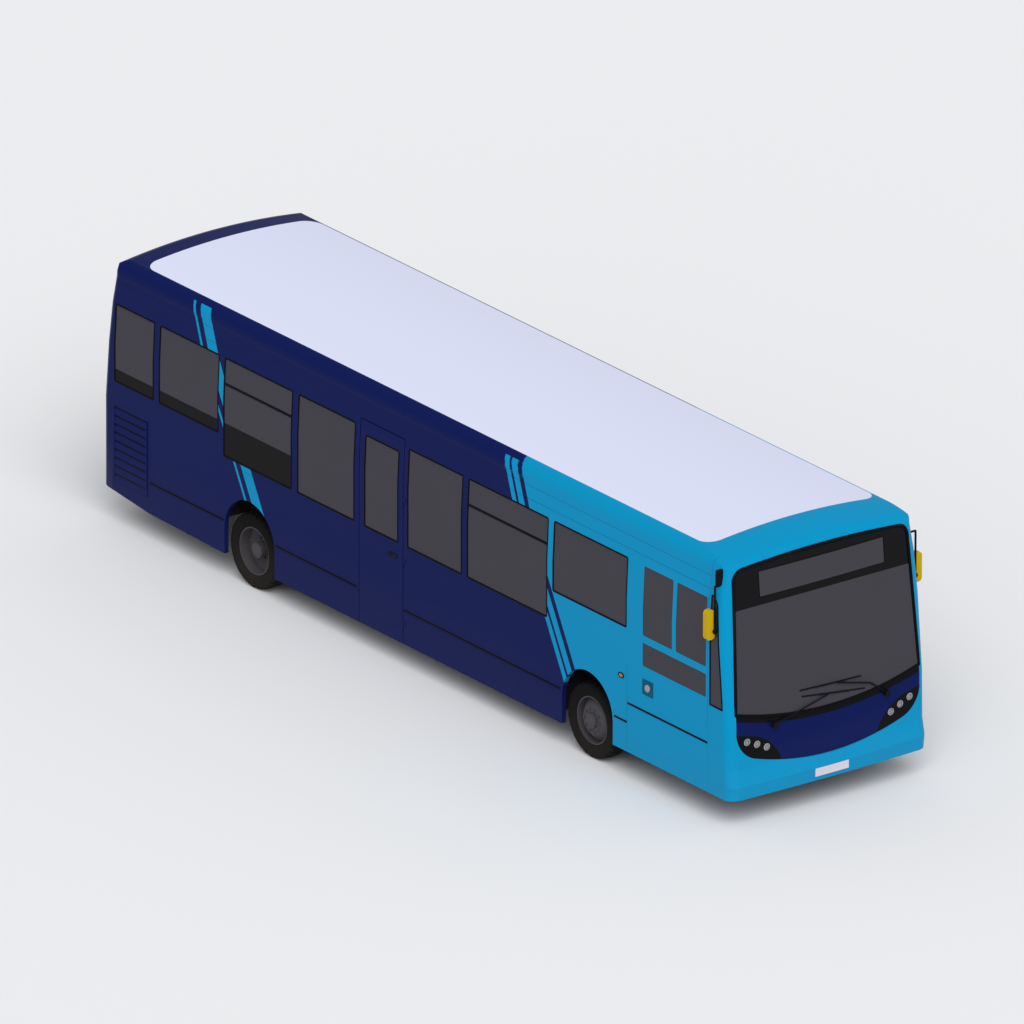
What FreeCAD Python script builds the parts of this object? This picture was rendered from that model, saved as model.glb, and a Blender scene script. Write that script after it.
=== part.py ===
# City bus, low floor single deck, right hand drive.
# Millimetres, +Z up, front towards -Y, driver's side at -X, entrance at +X.
# The origin lies on the ground under the middle of the bus.
import FreeCAD, Part
import Sketcher
import os
import re

doc = FreeCAD.newDocument("CityBus")
sheet = doc.addObject("Spreadsheet::Sheet", "Sizes")
Vector = FreeCAD.Vector

# Heights are above the ground. Ahead and behind are measured from the front axle
# unless the name says otherwise.
sizes = {
    # whole vehicle
    "bodyLength": 10440,
    "bodyWidth": 2440,
    "roofCrown": 2850,
    "frontOverhang": 2370,
    "wheelbase": 5560,
    "wallThickness": 50,
    "overrun": 60,
    "jointGap": 10,
    "seatGap": 0.3,
    # body section
    "sideTurnZ": 1900,
    "windowTopZ": 2330,
    "windowTopInset": 20,
    "cantrailZ": 2430,
    "coveZ": 2600,
    "coveInset": 54,
    "coveRadius": 190,
    "roofEdgeX": 1061,
    "roofEdgeDrop": 70,
    # plan and ends
    "planMargin": 2,
    "planBaseZ": 150,
    "maskSetback": 45,
    "screenFootZ": 1080,
    "screenHeadZ": 2660,
    "screenHeadSetback": 195,
    "frontBow": 25,
    "cornerRadius": 130,
    "crownCornerRadius": 300,
    "crownSweep": 30,
    "browSetback": 262,
    "browZ": 2755,
    "browRadius": 130,
    "domeRadius": 533,
    "seamCrown": 2808,
    "crownSetback": 640,
    "crownEaseRadius": 805,
    "frontSeam": 1950,
    "rearSetback": 0,
    "rearWaistZ": 1300,
    "rearHeadSetback": 120,
    "rearBow": 35,
    "rearDomeRadius": 220,
    "rearDomeRun": 200,
    "rearDomeZ": 2640,
    "rearSeam": 7850,
    # lower edge
    "frontSkirtZ": 290,
    "skirtZ": 243,
    "tailKinkZ": 274,
    "tailKink": 7230,
    "tailZ": 365,
    "skirtTopZ": 604,
    # wheels
    "tyreDiameter": 790,
    "tyreWidth": 226,
    "rimDiameter": 496,
    "wheelCentreX": 1070,
    "twinSpacing": 262,
    "archHalfLength": 415,
    "archStraightZ": 520,
    "kingpinX": 905,
    "kingpinRadius": 22,
    "frontBoxHalfLength": 520,
    "rearBoxHalfLength": 470,
    "frontBoxX": 655,
    "rearBoxX": 600,
    "boxTopZ": 900,
    "boxWall": 15,
    "beadInset": 22,
    "sidewallRadius": 190,
    "shoulderInset": 4,
    "shoulderDrop": 45,
    "shoulderRadius": 70,
    "treadInset": 26,
    "rimWidth": 178,
    "rimWall": 14,
    "discThickness": 12,
    "discDish": 70,
    "discFlatRadius": 150,
    "hubBoreRadius": 78,
    "frontDiscX": 86,
    "rearDiscX": -75,
    "rearDiscDish": -40,
    "frontHubBack": 80,
    "hubCap": 25,
    "hubHalf": 120,
    "rearHubReach": 60,
    "knuckleWeb": 25,
    "stubReach": 60,
    # floor and chassis
    "floorZ": 360,
    "floorThickness": 40,
    "rearFloorZ": 640,
    "floorStep": 4350,
    "railHeight": 90,
    "railWidth": 70,
    "railX": 420,
    "railKick": 300,
    "railFront": 2180,
    "railRear": 7780,
    "lugReach": 60,
    "lugThickness": 30,
    "lugWidth": 90,
    "eyeRadius": 18,
    "jackFront": 620,
    "jackRear": 6600,
    "padThickness": 20,
    "crossWidth": 60,
    # windows of both sides
    "glassThickness": 6,
    "glassInset": 4,
    "windowRadius": 18,
    "lowSillZ": 1293,
    "highSillZ": 1512,
    "cabSillZ": 1602,
    # window spans behind the front axle, rear and front edge
    "tailFront": 7160,
    "tailRear": 7804,
    "axleFront": 6083,
    "axleRear": 7062,
    "thirdFront": 4867,
    "thirdRear": 5986,
    "fourthFront": 3830,
    "fourthRear": 4762,
    "exitPaneFront": 3108,
    "exitPaneRear": 3655,
    "fifthFront": 2063,
    "fifthRear": 2946,
    "longFront": 665,
    "longRear": 1966,
    "wheelPaneFront": -628,
    "wheelPaneRear": 565,
    "cabPaneFront": -1922,
    "cabPaneBarFront": -1430,
    "cabPaneBarRear": -1370,
    "cabPaneRear": -895,
    "cabLowPaneZ": 1280,
    "cabLowPaneTopZ": 1525,
    # front mask and lamps
    "screenHalfTop": 1070,
    "screenHalfFoot": 1127,
    "screenCornerZ": 1180,
    "screenSmile": 150,
    "screenTopZ": 2640,
    "screenTopRise": 45,
    "screenTopCorner": 100,
    "screenTopRadius": 120,
    "quarterFront": 2185,
    "quarterRear": 1985,
    "quarterTopFront": 2085,
    "quarterFootZ": 1225,
    "quarterHeadZ": 2373,
    "quarterRadius": 110,
    "bumperCentreZ": 545,
    "bumperShoulderX": 930,
    "bumperShoulderZ": 690,
    "bumperCornerX": 1130,
    "bumperCornerZ": 970,
    "bumperCornerRadius": 330,
    "bumperNoseZ": 430,
    "bumperBaseZ": 275,
    "bumperBaseSetback": 18,
    "bumperLipZ": 600,
    "bumperLipSetback": 38,
    "clusterTopX": 900,
    "clusterTopZ": 917,
    "clusterTopRadius": 520,
    "clusterInnerX": 570,
    "clusterInnerZ": 560,
    "lampRadius": 38,
    "lampDepth": 30,
    "outerLampX": 999,
    "outerLampZ": 875,
    "middleLampX": 880,
    "middleLampZ": 827,
    "innerLampX": 763,
    "innerLampZ": 773,
    "displayHalfWidth": 776,
    "displayFootZ": 2300,
    "displayBehindFace": 240,
    "displayDepth": 120,
    # entrance
    "doorFrontJamb": 1930,
    "doorRearJamb": 640,
    "doorHeadZ": 2200,
    "postRadius": 20,
    "postFromJamb": 26,
    "pivotFromSide": 30,
    "leafThickness": 30,
    "leafHeel": 27,
    "leafNose": 8,
    "leafFrame": 50,
    "leafFootFrame": 110,
    "leafCorner": 12,
    "armWidth": 26,
    "armHeight": 20,
    "armPinRadius": 8,
    "armPinReach": 30,
    "runningGap": 5,
    "headerDepth": 220,
    # emergency door
    "exitFront": 3025,
    "exitRear": 3740,
    "exitHeadZ": 2400,
    "exitWindowTopZ": 2254,
    "exitHingeZ": 450,
    "exitHingePitch": 650,
    "hingeRadius": 7,
    "hingePinRadius": 3.5,
    "hingePlate": 4,
    "hingeReach": 40,
    "hingeLength": 90,
    # axles and running gear
    "beamHeight": 75,
    "beamDepth": 90,
    "beamZ": 140,
    "beamSwanX": 640,
    "beamEndX": 800,
    "knuckleHeight": 190,
    "knuckleDepth": 70,
    "stubRadius": 34,
    "axleTubeRadius": 62,
    "diffRadius": 170,
    "diffWidth": 300,
    "bagRadius": 58,
    "bagX": 520,
    "engineHalfWidth": 370,
    "engineFront": 6720,
    "engineRear": 7660,
    "engineFootZ": 400,
    "engineTopZ": 1000,
    "cradleThickness": 30,
    "benchFront": 6600,
    "benchTopZ": 1060,
    # cab and saloon
    "cabRear": 640,
    "cabInnerX": 330,
    "cabFloorZ": 560,
    "cabWall": 30,
    "cabWallTopZ": 1750,
    "dashRear": 1740,
    "dashTopZ": 1130,
    "dashDepth": 330,
    "driverX": 760,
    "steerRadius": 225,
    "steerRimRadius": 16,
    "steerZ": 1260,
    "steerAhead": 1480,
    "steerTilt": 25,
    "steerColumn": 660,
    "driverSeatAhead": 1190,
    "seatWidth": 430,
    "seatDepth": 430,
    "cushionThickness": 90,
    "cushionRadius": 25,
    "cushionTop": 450,
    "backHeight": 680,
    "backThickness": 80,
    "backLean": 90,
    "seatPitch": 750,
    "seatAisle": 290,
    "seatLeg": 60,
    "frontRowRear": 1390,
    "rearRowRear": 5090,
    "benchRowRear": 7600,
    "rearLampRadius": 50,
    "rearLampX": 1000,
    "rearLampZ": 980,
    "rearLampPitch": 130,
    # mirrors and wipers
    "mirrorX": 1275,
    "mirrorWidth": 100,
    "mirrorAhead": 2040,
    "mirrorDepth": 60,
    "mirrorFootZ": 1945,
    "mirrorHeadZ": 2258,
    "mirrorRadius": 40,
    "mirrorArmRadius": 11,
    "mirrorArmX": 1234,
    "mirrorArmTopZ": 2500,
    "wiperPivotX": 691,
    "wiperPivotZ": 997,
    "wiperHubRadius": 32,
    "wiperReach": 40,
    # engine cover
    "coverHalfWidth": 780,
    "coverBottomZ": 520,
    "coverTopZ": 1240,
    "coverHingeX": 550,
    "coverHingeSetback": 9,
    "coverHingeGap": 22,
    "rearWindowHalfWidth": 960,
    "rearWindowBottomZ": 1480,
    "rearWindowTopZ": 2330,
}

for row, (alias, value) in enumerate(sizes.items(), 1):
    sheet.set("A%d" % row, alias)
    sheet.set("B%d" % row, str(value))
    sheet.setAlias("B%d" % row, alias)
doc.recompute()

# Places that several pieces share, as formulas of the sizes.
frontAxle = "(frontOverhang - bodyLength / 2)"
rearAxle = "(frontOverhang - bodyLength / 2 + wheelbase)"
side = "(bodyWidth / 2)"
insideX = "(bodyWidth / 2 - wallThickness)"
wheelZ = "(tyreDiameter / 2)"
pivotX = "(bodyWidth / 2 - pivotFromSide)"
planes = {
    "XY": FreeCAD.Rotation(),
    "XZ": FreeCAD.Rotation(Vector(1, 0, 0), 90),
    "YZ": FreeCAD.Rotation(Vector(1, 1, 1), 120),
}
turns = {
    "X": FreeCAD.Rotation(Vector(0, 1, 0), 90),
    "Y": FreeCAD.Rotation(Vector(1, 0, 0), -90),
    "Z": FreeCAD.Rotation(),
}
word = re.compile(r"[a-z][A-Za-z]+")
nodes = {}


def behind(distance):
    return "(%s + (%s))" % (frontAxle, distance)


def ahead(distance):
    return "(%s - (%s))" % (frontAxle, distance)


def formula(text):
    return word.sub(lambda found: "Sizes." + found.group() if found.group() in sizes else found.group(), str(text))


def number(text):
    return float(sheet.evalExpression(formula(text)))


def bind(item, prop, text):
    item.setExpression(prop, formula(text))


def place(item, x="0", y="0", z="0"):
    for axis, text in zip("xyz", (x, y, z)):
        bind(item, "Placement.Base." + axis, text)
    return item


def node(label, item):
    item.Label = label
    nodes[label] = item
    return item


def box(x, y, z):
    item = doc.addObject("Part::Box", "Box")
    for prop, (low, high) in zip(("Length", "Width", "Height"), (x, y, z)):
        bind(item, prop, "(%s) - (%s)" % (high, low))
    return place(item, x[0], y[0], z[0])


def rod(axis, radius, span, x="0", y="0", z="0"):
    item = doc.addObject("Part::Cylinder", "Rod")
    item.Placement.Rotation = turns[axis]
    bind(item, "Radius", radius)
    bind(item, "Height", "(%s) - (%s)" % (span[1], span[0]))
    start = {"X": (span[0], y, z), "Y": (x, span[0], z), "Z": (x, y, span[0])}[axis]
    return place(item, *start)


def fuse(*items):
    item = doc.addObject("Part::MultiFuse", "Fuse")
    item.Shapes = list(items)
    return item


def group(*items):
    item = doc.addObject("Part::Compound", "Group")
    item.Links = list(items)
    return item


def cut(base, *tools):
    item = doc.addObject("Part::Cut", "Cut")
    item.Base = base
    item.Tool = tools[0] if len(tools) == 1 else fuse(*tools)
    return item


def common(*items):
    item = doc.addObject("Part::MultiCommon", "Common")
    item.Shapes = list(items)
    return item


def mirrored(source, normal=(1, 0, 0)):
    item = doc.addObject("Part::Mirroring", "Mirrored")
    item.Source = source
    item.Normal = Vector(*normal)
    return item


def bothSides(source):
    return group(source, mirrored(source))


def drawOutline(sketch, points):
    """A point is (x, y) or, where an arc leaves it, (x, y, radius, turn)."""
    corners = [Vector(number(point[0]), number(point[1]), 0) for point in points]
    count = len(points)
    for index, point in enumerate(points):
        start = corners[index]
        end = corners[(index + 1) % count]
        if len(point) == 2:
            sketch.addGeometry(Part.LineSegment(start, end))
            continue
        radius = number(point[2])
        chord = end - start
        rise = radius - (radius ** 2 - (chord.Length / 2) ** 2) ** 0.5
        out = Vector(chord.y, -chord.x, 0).normalize() * (rise * point[3])
        sketch.addGeometry(Part.Arc(start, (start + end) / 2 + out, end))
    for index, point in enumerate(points):
        after = (index + 1) % count
        ends = [(a, b) for a in (1, 2) for b in (1, 2)]
        gap = lambda pair: (sketch.getPoint(index, pair[0]) - sketch.getPoint(after, pair[1])).Length
        leaving, entering = min(ends, key=gap)
        sketch.addConstraint(Sketcher.Constraint("Coincident", index, leaving, after, entering))
        for kind, value, text in (("DistanceX", corners[after].x, points[after][0]),
                                  ("DistanceY", corners[after].y, points[after][1])):
            made = sketch.addConstraint(Sketcher.Constraint(kind, after, entering, value))
            bind(sketch, "Constraints[%d]" % made, text)
        if len(point) == 4:
            made = sketch.addConstraint(Sketcher.Constraint("Radius", index, number(point[2])))
            bind(sketch, "Constraints[%d]" % made, point[2])
    return sketch


def outline(plane, points, x="0", y="0", z="0"):
    sketch = doc.addObject("Sketcher::SketchObject", "Outline")
    sketch.Placement.Rotation = planes[plane]
    place(sketch, x, y, z)
    return drawOutline(sketch, points)


def slab(plane, points, low, high):
    """An outline given thickness from low to high along its plane's row axis."""
    item = doc.addObject("Part::Extrusion", "Slab")
    if plane == "XY":
        item.Base = outline(plane, points, z=low)
    if plane == "XZ":
        item.Base = outline(plane, points, y=high)
    if plane == "YZ":
        item.Base = outline(plane, points, x=low)
    item.DirMode = "Normal"
    item.Solid = True
    bind(item, "LengthFwd", "(%s) - (%s)" % (high, low))
    return item


def bow(halfChord, rise):
    """The radius of a shallow arc that rises by so much over its chord."""
    return "((%s)^2 + (%s)^2) / (2 * (%s))" % (halfChord, rise, rise)


def roundedBox(x, y, z, radius, plane):
    """A box with its four corners rounded in one plane."""
    spans = {"XY": (x, y, z), "XZ": (x, z, y), "YZ": (y, z, x)}[plane]
    (a, b), (c, d), (low, high) = spans
    inA, inB = "(%s + %s)" % (a, radius), "(%s - %s)" % (b, radius)
    inC, inD = "(%s + %s)" % (c, radius), "(%s - %s)" % (d, radius)
    points = [(inA, c), (inB, c, radius, 1), (b, inC), (b, inD, radius, 1),
              (inB, d), (inA, d, radius, 1), (a, inD), (a, inC, radius, 1)]
    return slab(plane, points, low, high)


def hull(inset):
    """The closed body form, moved inwards by inset on every side but the underside."""
    half = "(bodyWidth / 2 - %s)" % inset
    edgeZ = "(roofCrown - roofEdgeDrop - %s)" % inset
    edgeX = "(roofEdgeX - %s / 2)" % inset
    topX = "(%s - windowTopInset)" % half
    coveX = "(%s - coveInset)" % half
    foot = "(skirtZ - overrun * 3)"
    section = [
        ("-" + half, foot), (half, foot), (half, "sideTurnZ"), (topX, "windowTopZ"),
        (coveX, "coveZ", "(coveRadius - %s)" % inset, 1),
        (edgeX, edgeZ, bow(edgeX, "roofEdgeDrop"), 1),
        ("-" + edgeX, edgeZ, "(coveRadius - %s)" % inset, 1),
        ("-" + coveX, "coveZ"), ("-" + topX, "windowTopZ"), ("-" + half, "sideTurnZ"),
    ]
    front = "(-bodyLength / 2 + %s)" % inset
    rear = "(bodyLength / 2 - %s)" % inset
    long = slab("XZ", section, front, rear)
    top = "(roofCrown - %s)" % inset
    over = "(roofCrown + overrun)"
    browEnd = "(%s + browSetback)" % front
    seamEnd = "(%s + frontOverhang - frontSeam)" % front
    crownStart = "(%s + crownSetback)" % front
    tailEnd = "(%s - rearHeadSetback - rearDomeRun)" % rear
    beyondTail = "(%s + overrun)" % rear
    beyondNose = "(%s - overrun)" % front
    elevation = [
        (beyondNose, foot), (beyondTail, foot), (beyondTail, "(rearDomeZ - %s)" % inset),
        ("(%s - rearHeadSetback)" % rear, "(rearDomeZ - %s)" % inset, "rearDomeRadius", 1),
        (tailEnd, top), (tailEnd, over), (crownStart, over),
        (crownStart, top, "crownEaseRadius", 1),
        (seamEnd, "(seamCrown - %s)" % inset, "domeRadius", 1),
        (browEnd, "(browZ - %s)" % inset, "browRadius", 1),
        ("(%s + screenHeadSetback)" % front, "(screenHeadZ - %s)" % inset),
        (beyondNose, "(screenHeadZ - %s)" % inset),
    ]
    across = doc.addObject("Part::Revolution", "Across")
    across.Source = outline("YZ", elevation)
    across.Axis = Vector(0, 1, 0)
    bind(across, "Base.z", "roofCrown - " + bow("roofEdgeX", "roofEdgeDrop"))
    bind(across, "Angle", "crownSweep")
    across.Symmetric = True
    across.Solid = True
    levels = [
        ("-overrun", "0", "maskSetback", "rearSetback", "cornerRadius"),
        ("screenFootZ", "0", "maskSetback", "rearSetback", "cornerRadius"),
        ("rearWaistZ", "0", frontRake("rearWaistZ"), "rearSetback", "cornerRadius"),
        ("sideTurnZ", "0", frontRake("sideTurnZ"), rearRake("sideTurnZ"), "cornerRadius"),
        ("windowTopZ", "windowTopInset", frontRake("windowTopZ"), rearRake("windowTopZ"), "cornerRadius"),
        ("coveZ", "coveInset", frontRake("coveZ"), rearRake("coveZ"), "cornerRadius"),
        ("screenHeadZ", "coveInset", "screenHeadSetback", "rearHeadSetback", "cornerRadius"),
        (over, "coveInset", "screenHeadSetback", "rearHeadSetback", "crownCornerRadius"),
    ]
    return common(long, across, stack([planRing(inset, *level) for level in levels]))


def frontRake(z):
    """How far the raked windscreen has come back at a height."""
    return ("(maskSetback + (screenHeadSetback - maskSetback) * (%s - screenFootZ)"
            " / (screenHeadZ - screenFootZ))" % z)


def rearRake(z):
    return ("(rearSetback + (rearHeadSetback - rearSetback) * (%s - rearWaistZ)"
            " / (screenHeadZ - rearWaistZ))" % z)


def stack(rings):
    item = doc.addObject("Part::Loft", "Stack")
    item.Sections = rings
    item.Solid = True
    item.Ruled = True
    return item


def planRing(inset, z, narrow, frontSetback, rearSetback, radius):
    """One level of the body's plan: bowed ends with rounded corners."""
    half = "(bodyWidth / 2 + planMargin - %s - %s)" % (inset, narrow)
    corner = "(%s - %s)" % (radius, inset)
    front = "(-bodyLength / 2 + %s + %s)" % (inset, frontSetback)
    rear = "(bodyLength / 2 - %s - %s)" % (inset, rearSetback)
    inX = "(%s - %s)" % (half, corner)
    frontSide = "(%s + frontBow + %s)" % (front, corner)
    frontCorner = "(%s + frontBow)" % front
    rearSide = "(%s - rearBow - %s)" % (rear, corner)
    rearCorner = "(%s - rearBow)" % rear
    points = [
        ("-" + inX, frontCorner, bow(inX, "frontBow"), 1), (inX, frontCorner, corner, 1),
        (half, frontSide), (half, rearSide, corner, 1),
        (inX, rearCorner, bow(inX, "rearBow"), 1), ("-" + inX, rearCorner, corner, 1),
        ("-" + half, rearSide), ("-" + half, frontSide, corner, 1),
    ]
    return outline("XY", points, z=z)


beyondLeft = "(-%s - overrun)" % side
beyondRight = "(%s + overrun)" % side
beyondFront = "(-bodyLength / 2 - overrun)"
beyondRear = "(bodyLength / 2 + overrun)"
groundZ = "0"
overRoof = "(roofCrown + overrun)"
allX = (beyondLeft, beyondRight)
allY = (beyondFront, beyondRear)
allZ = (groundZ, overRoof)
seamF = ahead("frontSeam")
seamR = behind("rearSeam")

outer = hull("0")
inner = hull("wallThickness")
glassOut = hull("glassInset")
glassIn = hull("(glassInset + glassThickness)")
shell = cut(outer, inner)
pane = cut(glassOut, glassIn)


# Everything under the body's lower edge, and the wheel arches.
lowerEdge = slab("YZ", [
    (beyondFront, "-overrun"), (beyondRear, "-overrun"), (beyondRear, "tailZ"),
    (behind("tailKink"), "tailKinkZ"), (rearAxle, "skirtZ"), (frontAxle, "skirtZ"),
    (frontAxle, "frontSkirtZ"), (beyondFront, "frontSkirtZ"),
], beyondLeft, beyondRight)


def arch(axle):
    front = "(%s - archHalfLength)" % axle
    rear = "(%s + archHalfLength)" % axle
    return slab("YZ", [
        (front, "-overrun"), (rear, "-overrun"), (rear, "archStraightZ", "archHalfLength * 1.0001", 1),
        (axle, "archStraightZ + archHalfLength", "archHalfLength * 1.0001", 1), (front, "archStraightZ"),
    ], beyondLeft, beyondRight)


body = cut(shell, lowerEdge, arch(frontAxle), arch(rearAxle))


def windowSpan(front, rear, low, high, x=allX):
    return roundedBox(x, (behind(front), behind(rear)), (low, high), "windowRadius", "YZ")


def saloonWindows(x):
    return [
        windowSpan("tailFront", "tailRear", "highSillZ", "windowTopZ", x),
        windowSpan("axleFront", "axleRear", "highSillZ", "windowTopZ", x),
        windowSpan("thirdFront", "thirdRear", "lowSillZ", "windowTopZ", x),
        windowSpan("fourthFront", "fourthRear", "lowSillZ", "windowTopZ", x),
        windowSpan("fifthFront", "fifthRear", "lowSillZ", "windowTopZ", x),
        windowSpan("longFront", "longRear", "lowSillZ", "windowTopZ", x),
        windowSpan("wheelPaneFront", "wheelPaneRear", "cabSillZ", "windowTopZ", x),
    ]


leftX = ("0", beyondRight)
rightX = (beyondLeft, "0")
rightWindows = fuse(
    *saloonWindows(rightX),
    windowSpan("cabPaneFront", "cabPaneBarFront", "cabSillZ", "windowTopZ", rightX),
    windowSpan("cabPaneBarRear", "cabPaneRear", "cabSillZ", "windowTopZ", rightX),
    windowSpan("cabPaneFront", "cabPaneRear", "cabLowPaneZ", "cabLowPaneTopZ", rightX))
leftWindows = fuse(
    *saloonWindows(leftX),
    windowSpan("exitPaneFront", "exitPaneRear", "lowSillZ", "windowTopZ", leftX))

def hinge(turn, x, y, z):
    """The fixed and the moving half of one hinge, and the room that each needs in the other's skin."""
    low = ("-hingeLength / 2", "-seatGap")
    high = ("0", "hingeLength / 2")
    bore = rod("Z", "hingePinRadius + seatGap", low)
    moving = cut(fuse(rod("Z", "hingeRadius", low), box(("-hingePlate", "hingePlate"), ("0", "hingeReach"), low)),
                 bore)
    fixed = fuse(rod("Z", "hingeRadius", high), box(("-hingePlate", "hingePlate"), ("-hingeReach", "0"), high),
                 rod("Z", "hingePinRadius", ("-hingeLength / 2", "0")))
    room = "hingeRadius + jointGap / 2"
    fixedRoom = group(rod("Z", room, ("-seatGap", "hingeLength / 2 + jointGap")))
    movingRoom = group(rod("Z", room, ("-hingeLength / 2 - jointGap", "0")))
    for item in (fixed, moving, fixedRoom, movingRoom):
        item.Placement.Rotation = turn
        place(item, x, y, z)
    return fixed, moving, fixedRoom, movingRoom


# Emergency door in the offside wall and the entrance in the nearside one.
exitY = (behind("exitFront"), behind("exitRear"))
exitLeafSpace = box(rightX, exitY, (groundZ, "exitHeadZ"))
exitOpening = box(rightX, ("%s - jointGap" % exitY[0], "%s + jointGap" % exitY[1]),
                  ("-overrun", "exitHeadZ + jointGap"))
exitWindow = windowSpan("exitPaneFront", "exitPaneRear", "lowSillZ", "exitWindowTopZ", rightX)
exitHinges = [hinge(FreeCAD.Rotation(), "-" + side, "%s - jointGap / 2" % exitY[0],
                    "exitHingeZ + exitHingePitch * %d" % step) for step in range(3)]
exitFixed, exitMoving, exitFixedRoom, exitMovingRoom = zip(*exitHinges)
node("emergency_door", fuse(cut(common(body, exitLeafSpace), exitWindow, *exitFixedRoom), *exitMoving))
node("emergency_door_glass", common(pane, exitWindow))

doorY = (ahead("doorFrontJamb"), ahead("doorRearJamb"))
entrance = box(leftX, doorY, ("floorZ", "doorHeadZ"))

wallZ = ("skirtTopZ", "cantrailZ")
sideY = (seamF, seamR)
node("side_wall_right", fuse(
    cut(common(body, box(rightX, sideY, wallZ)), rightWindows, exitOpening, *exitMovingRoom), *exitFixed[1:]))
node("side_wall_left", cut(common(body, box(leftX, sideY, wallZ)), leftWindows, entrance))
node("side_skirts", fuse(
    cut(common(body, box(allX, sideY, ("-overrun", "skirtTopZ"))), exitOpening, entrance, *exitMovingRoom),
    exitFixed[0]))
node("side_windows_right", common(pane, rightWindows))
node("side_windows_left", common(pane, leftWindows))
node("roof", common(body, box(allX, sideY, ("cantrailZ", overRoof))))


# Front mask: windscreen, corner lights, lamp clusters and the bumper under its curve.
def frontSlab(points, rear=seamF):
    return slab("XZ", points, beyondFront, rear)


screenTopZ = "(screenTopZ - screenTopCorner)"
screenTopX = "(screenHalfTop - screenTopCorner)"
screen = frontSlab([
    ("-screenHalfFoot", "screenCornerZ", bow("screenHalfFoot", "screenSmile"), 1),
    ("screenHalfFoot", "screenCornerZ"),
    ("screenHalfTop", screenTopZ, "screenTopRadius", 1),
    (screenTopX, "screenTopZ", bow(screenTopX, "screenTopRise"), 1),
    ("-" + screenTopX, "screenTopZ", "screenTopRadius", 1),
    ("-screenHalfTop", screenTopZ),
], "(-bodyLength / 2 + screenHeadSetback + browSetback)")
quarter = slab("YZ", [
    (ahead("quarterFront"), "quarterFootZ"), (ahead("quarterRear"), "quarterFootZ"),
    (ahead("quarterRear"), "quarterHeadZ", "quarterRadius", 1),
    (ahead("quarterTopFront"), "quarterHeadZ - quarterRadius"),
], beyondLeft, beyondRight)
smile = bow("bumperShoulderX", "bumperShoulderZ - bumperCentreZ")
underSmile = frontSlab([
    (beyondLeft, "-overrun"), (beyondRight, "-overrun"), (beyondRight, "bumperCornerZ"),
    ("bumperCornerX", "bumperCornerZ", "bumperCornerRadius", -1),
    ("bumperShoulderX", "bumperShoulderZ", smile, -1),
    ("-bumperShoulderX", "bumperShoulderZ", "bumperCornerRadius", -1),
    ("-bumperCornerX", "bumperCornerZ"), (beyondLeft, "bumperCornerZ"),
])
cluster = frontSlab([
    ("clusterInnerX", "clusterInnerZ"),
    ("bumperCornerX", "clusterInnerZ"), ("bumperCornerX", "bumperCornerZ"),
    ("clusterTopX", "clusterTopZ", "clusterTopRadius", 1),
], "(-bodyLength / 2 + screenHeadSetback)")
clusterCut = cut(cluster, underSmile)
lampPlaces = [("outerLampX", "outerLampZ"), ("middleLampX", "middleLampZ"), ("innerLampX", "innerLampZ")]
lampNose = "(-bodyLength / 2)"
lampBack = "(-bodyLength / 2 + maskSetback + frontBow + lampDepth)"
lampHoles = fuse(*[rod("Y", "lampRadius", (lampNose, lampBack), x=x, z=z) for x, z in lampPlaces])
clusterSolid = cut(common(body, clusterCut), lampHoles)
lens = common(pane, lampHoles)
node("lamp_clusters", bothSides(clusterSolid))
node("headlamp_lenses", bothSides(lens))

maskSpace = box(allX, (beyondFront, seamF), ("-overrun", overRoof))
node("front_mask", cut(common(body, maskSpace), screen, quarter, underSmile, clusterCut, mirrored(clusterCut)))
node("windscreen", common(pane, screen))
node("corner_windows", common(pane, quarter))
node("destination_display", common(inner, box(
    ("-displayHalfWidth", "displayHalfWidth"),
    ("-bodyLength / 2 + displayBehindFace", "-bodyLength / 2 + displayBehindFace + displayDepth"),
    ("displayFootZ", overRoof))))

bumperLevels = [
    ("-overrun", "0", "bumperBaseSetback", "rearSetback", "cornerRadius"),
    ("bumperBaseZ", "0", "bumperBaseSetback", "rearSetback", "cornerRadius"),
    ("bumperNoseZ", "0", "0", "rearSetback", "cornerRadius"),
    ("bumperLipZ", "0", "bumperLipSetback", "rearSetback", "cornerRadius"),
    ("screenFootZ", "0", "maskSetback", "rearSetback", "cornerRadius"),
]
bumperForm = stack([planRing("0", *level) for level in bumperLevels])
node("front_bumper", cut(
    common(bumperForm, underSmile, box(("-" + side, side), (beyondFront, seamF), ("frontSkirtZ", "bumperCornerZ"))),
    inner))

# Tail: rear panel with its window, lamps and the engine cover.
tailSpace = box(allX, (seamR, beyondRear), ("-overrun", overRoof))
rearWindow = roundedBox(("-rearWindowHalfWidth", "rearWindowHalfWidth"), (seamR, beyondRear),
                        ("rearWindowBottomZ", "rearWindowTopZ"), "windowRadius", "XZ")
coverX = ("-coverHalfWidth", "coverHalfWidth")
tailY = ("bodyLength / 2 - rearHeadSetback - wallThickness", beyondRear)
cover = box(coverX, tailY, ("coverBottomZ", "coverTopZ"))
coverOpening = box(("-coverHalfWidth - jointGap", "coverHalfWidth + jointGap"), tailY,
                   ("coverBottomZ - jointGap", "coverTopZ + coverHingeGap"))
coverHinges = [hinge(FreeCAD.Rotation(Vector(0, -1, 0), Vector(0, 0, -1), Vector(1, 0, 0), "XYZ"),
                     sign + "coverHingeX", "bodyLength / 2 - coverHingeSetback", "coverTopZ + jointGap / 2")
               for sign in ("-", "")]
coverFixed, coverMoving, coverFixedRoom, coverMovingRoom = zip(*coverHinges)
tailPart = common(body, tailSpace)
rearLampHeights = ["rearLampZ", "rearLampZ + rearLampPitch", "rearLampZ + rearLampPitch * 2"]
tailLampHoles = fuse(*[rod("Y", "rearLampRadius", ("bodyLength / 2 - rearHeadSetback", beyondRear),
                           x="rearLampX", z=z) for z in rearLampHeights])
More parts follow.
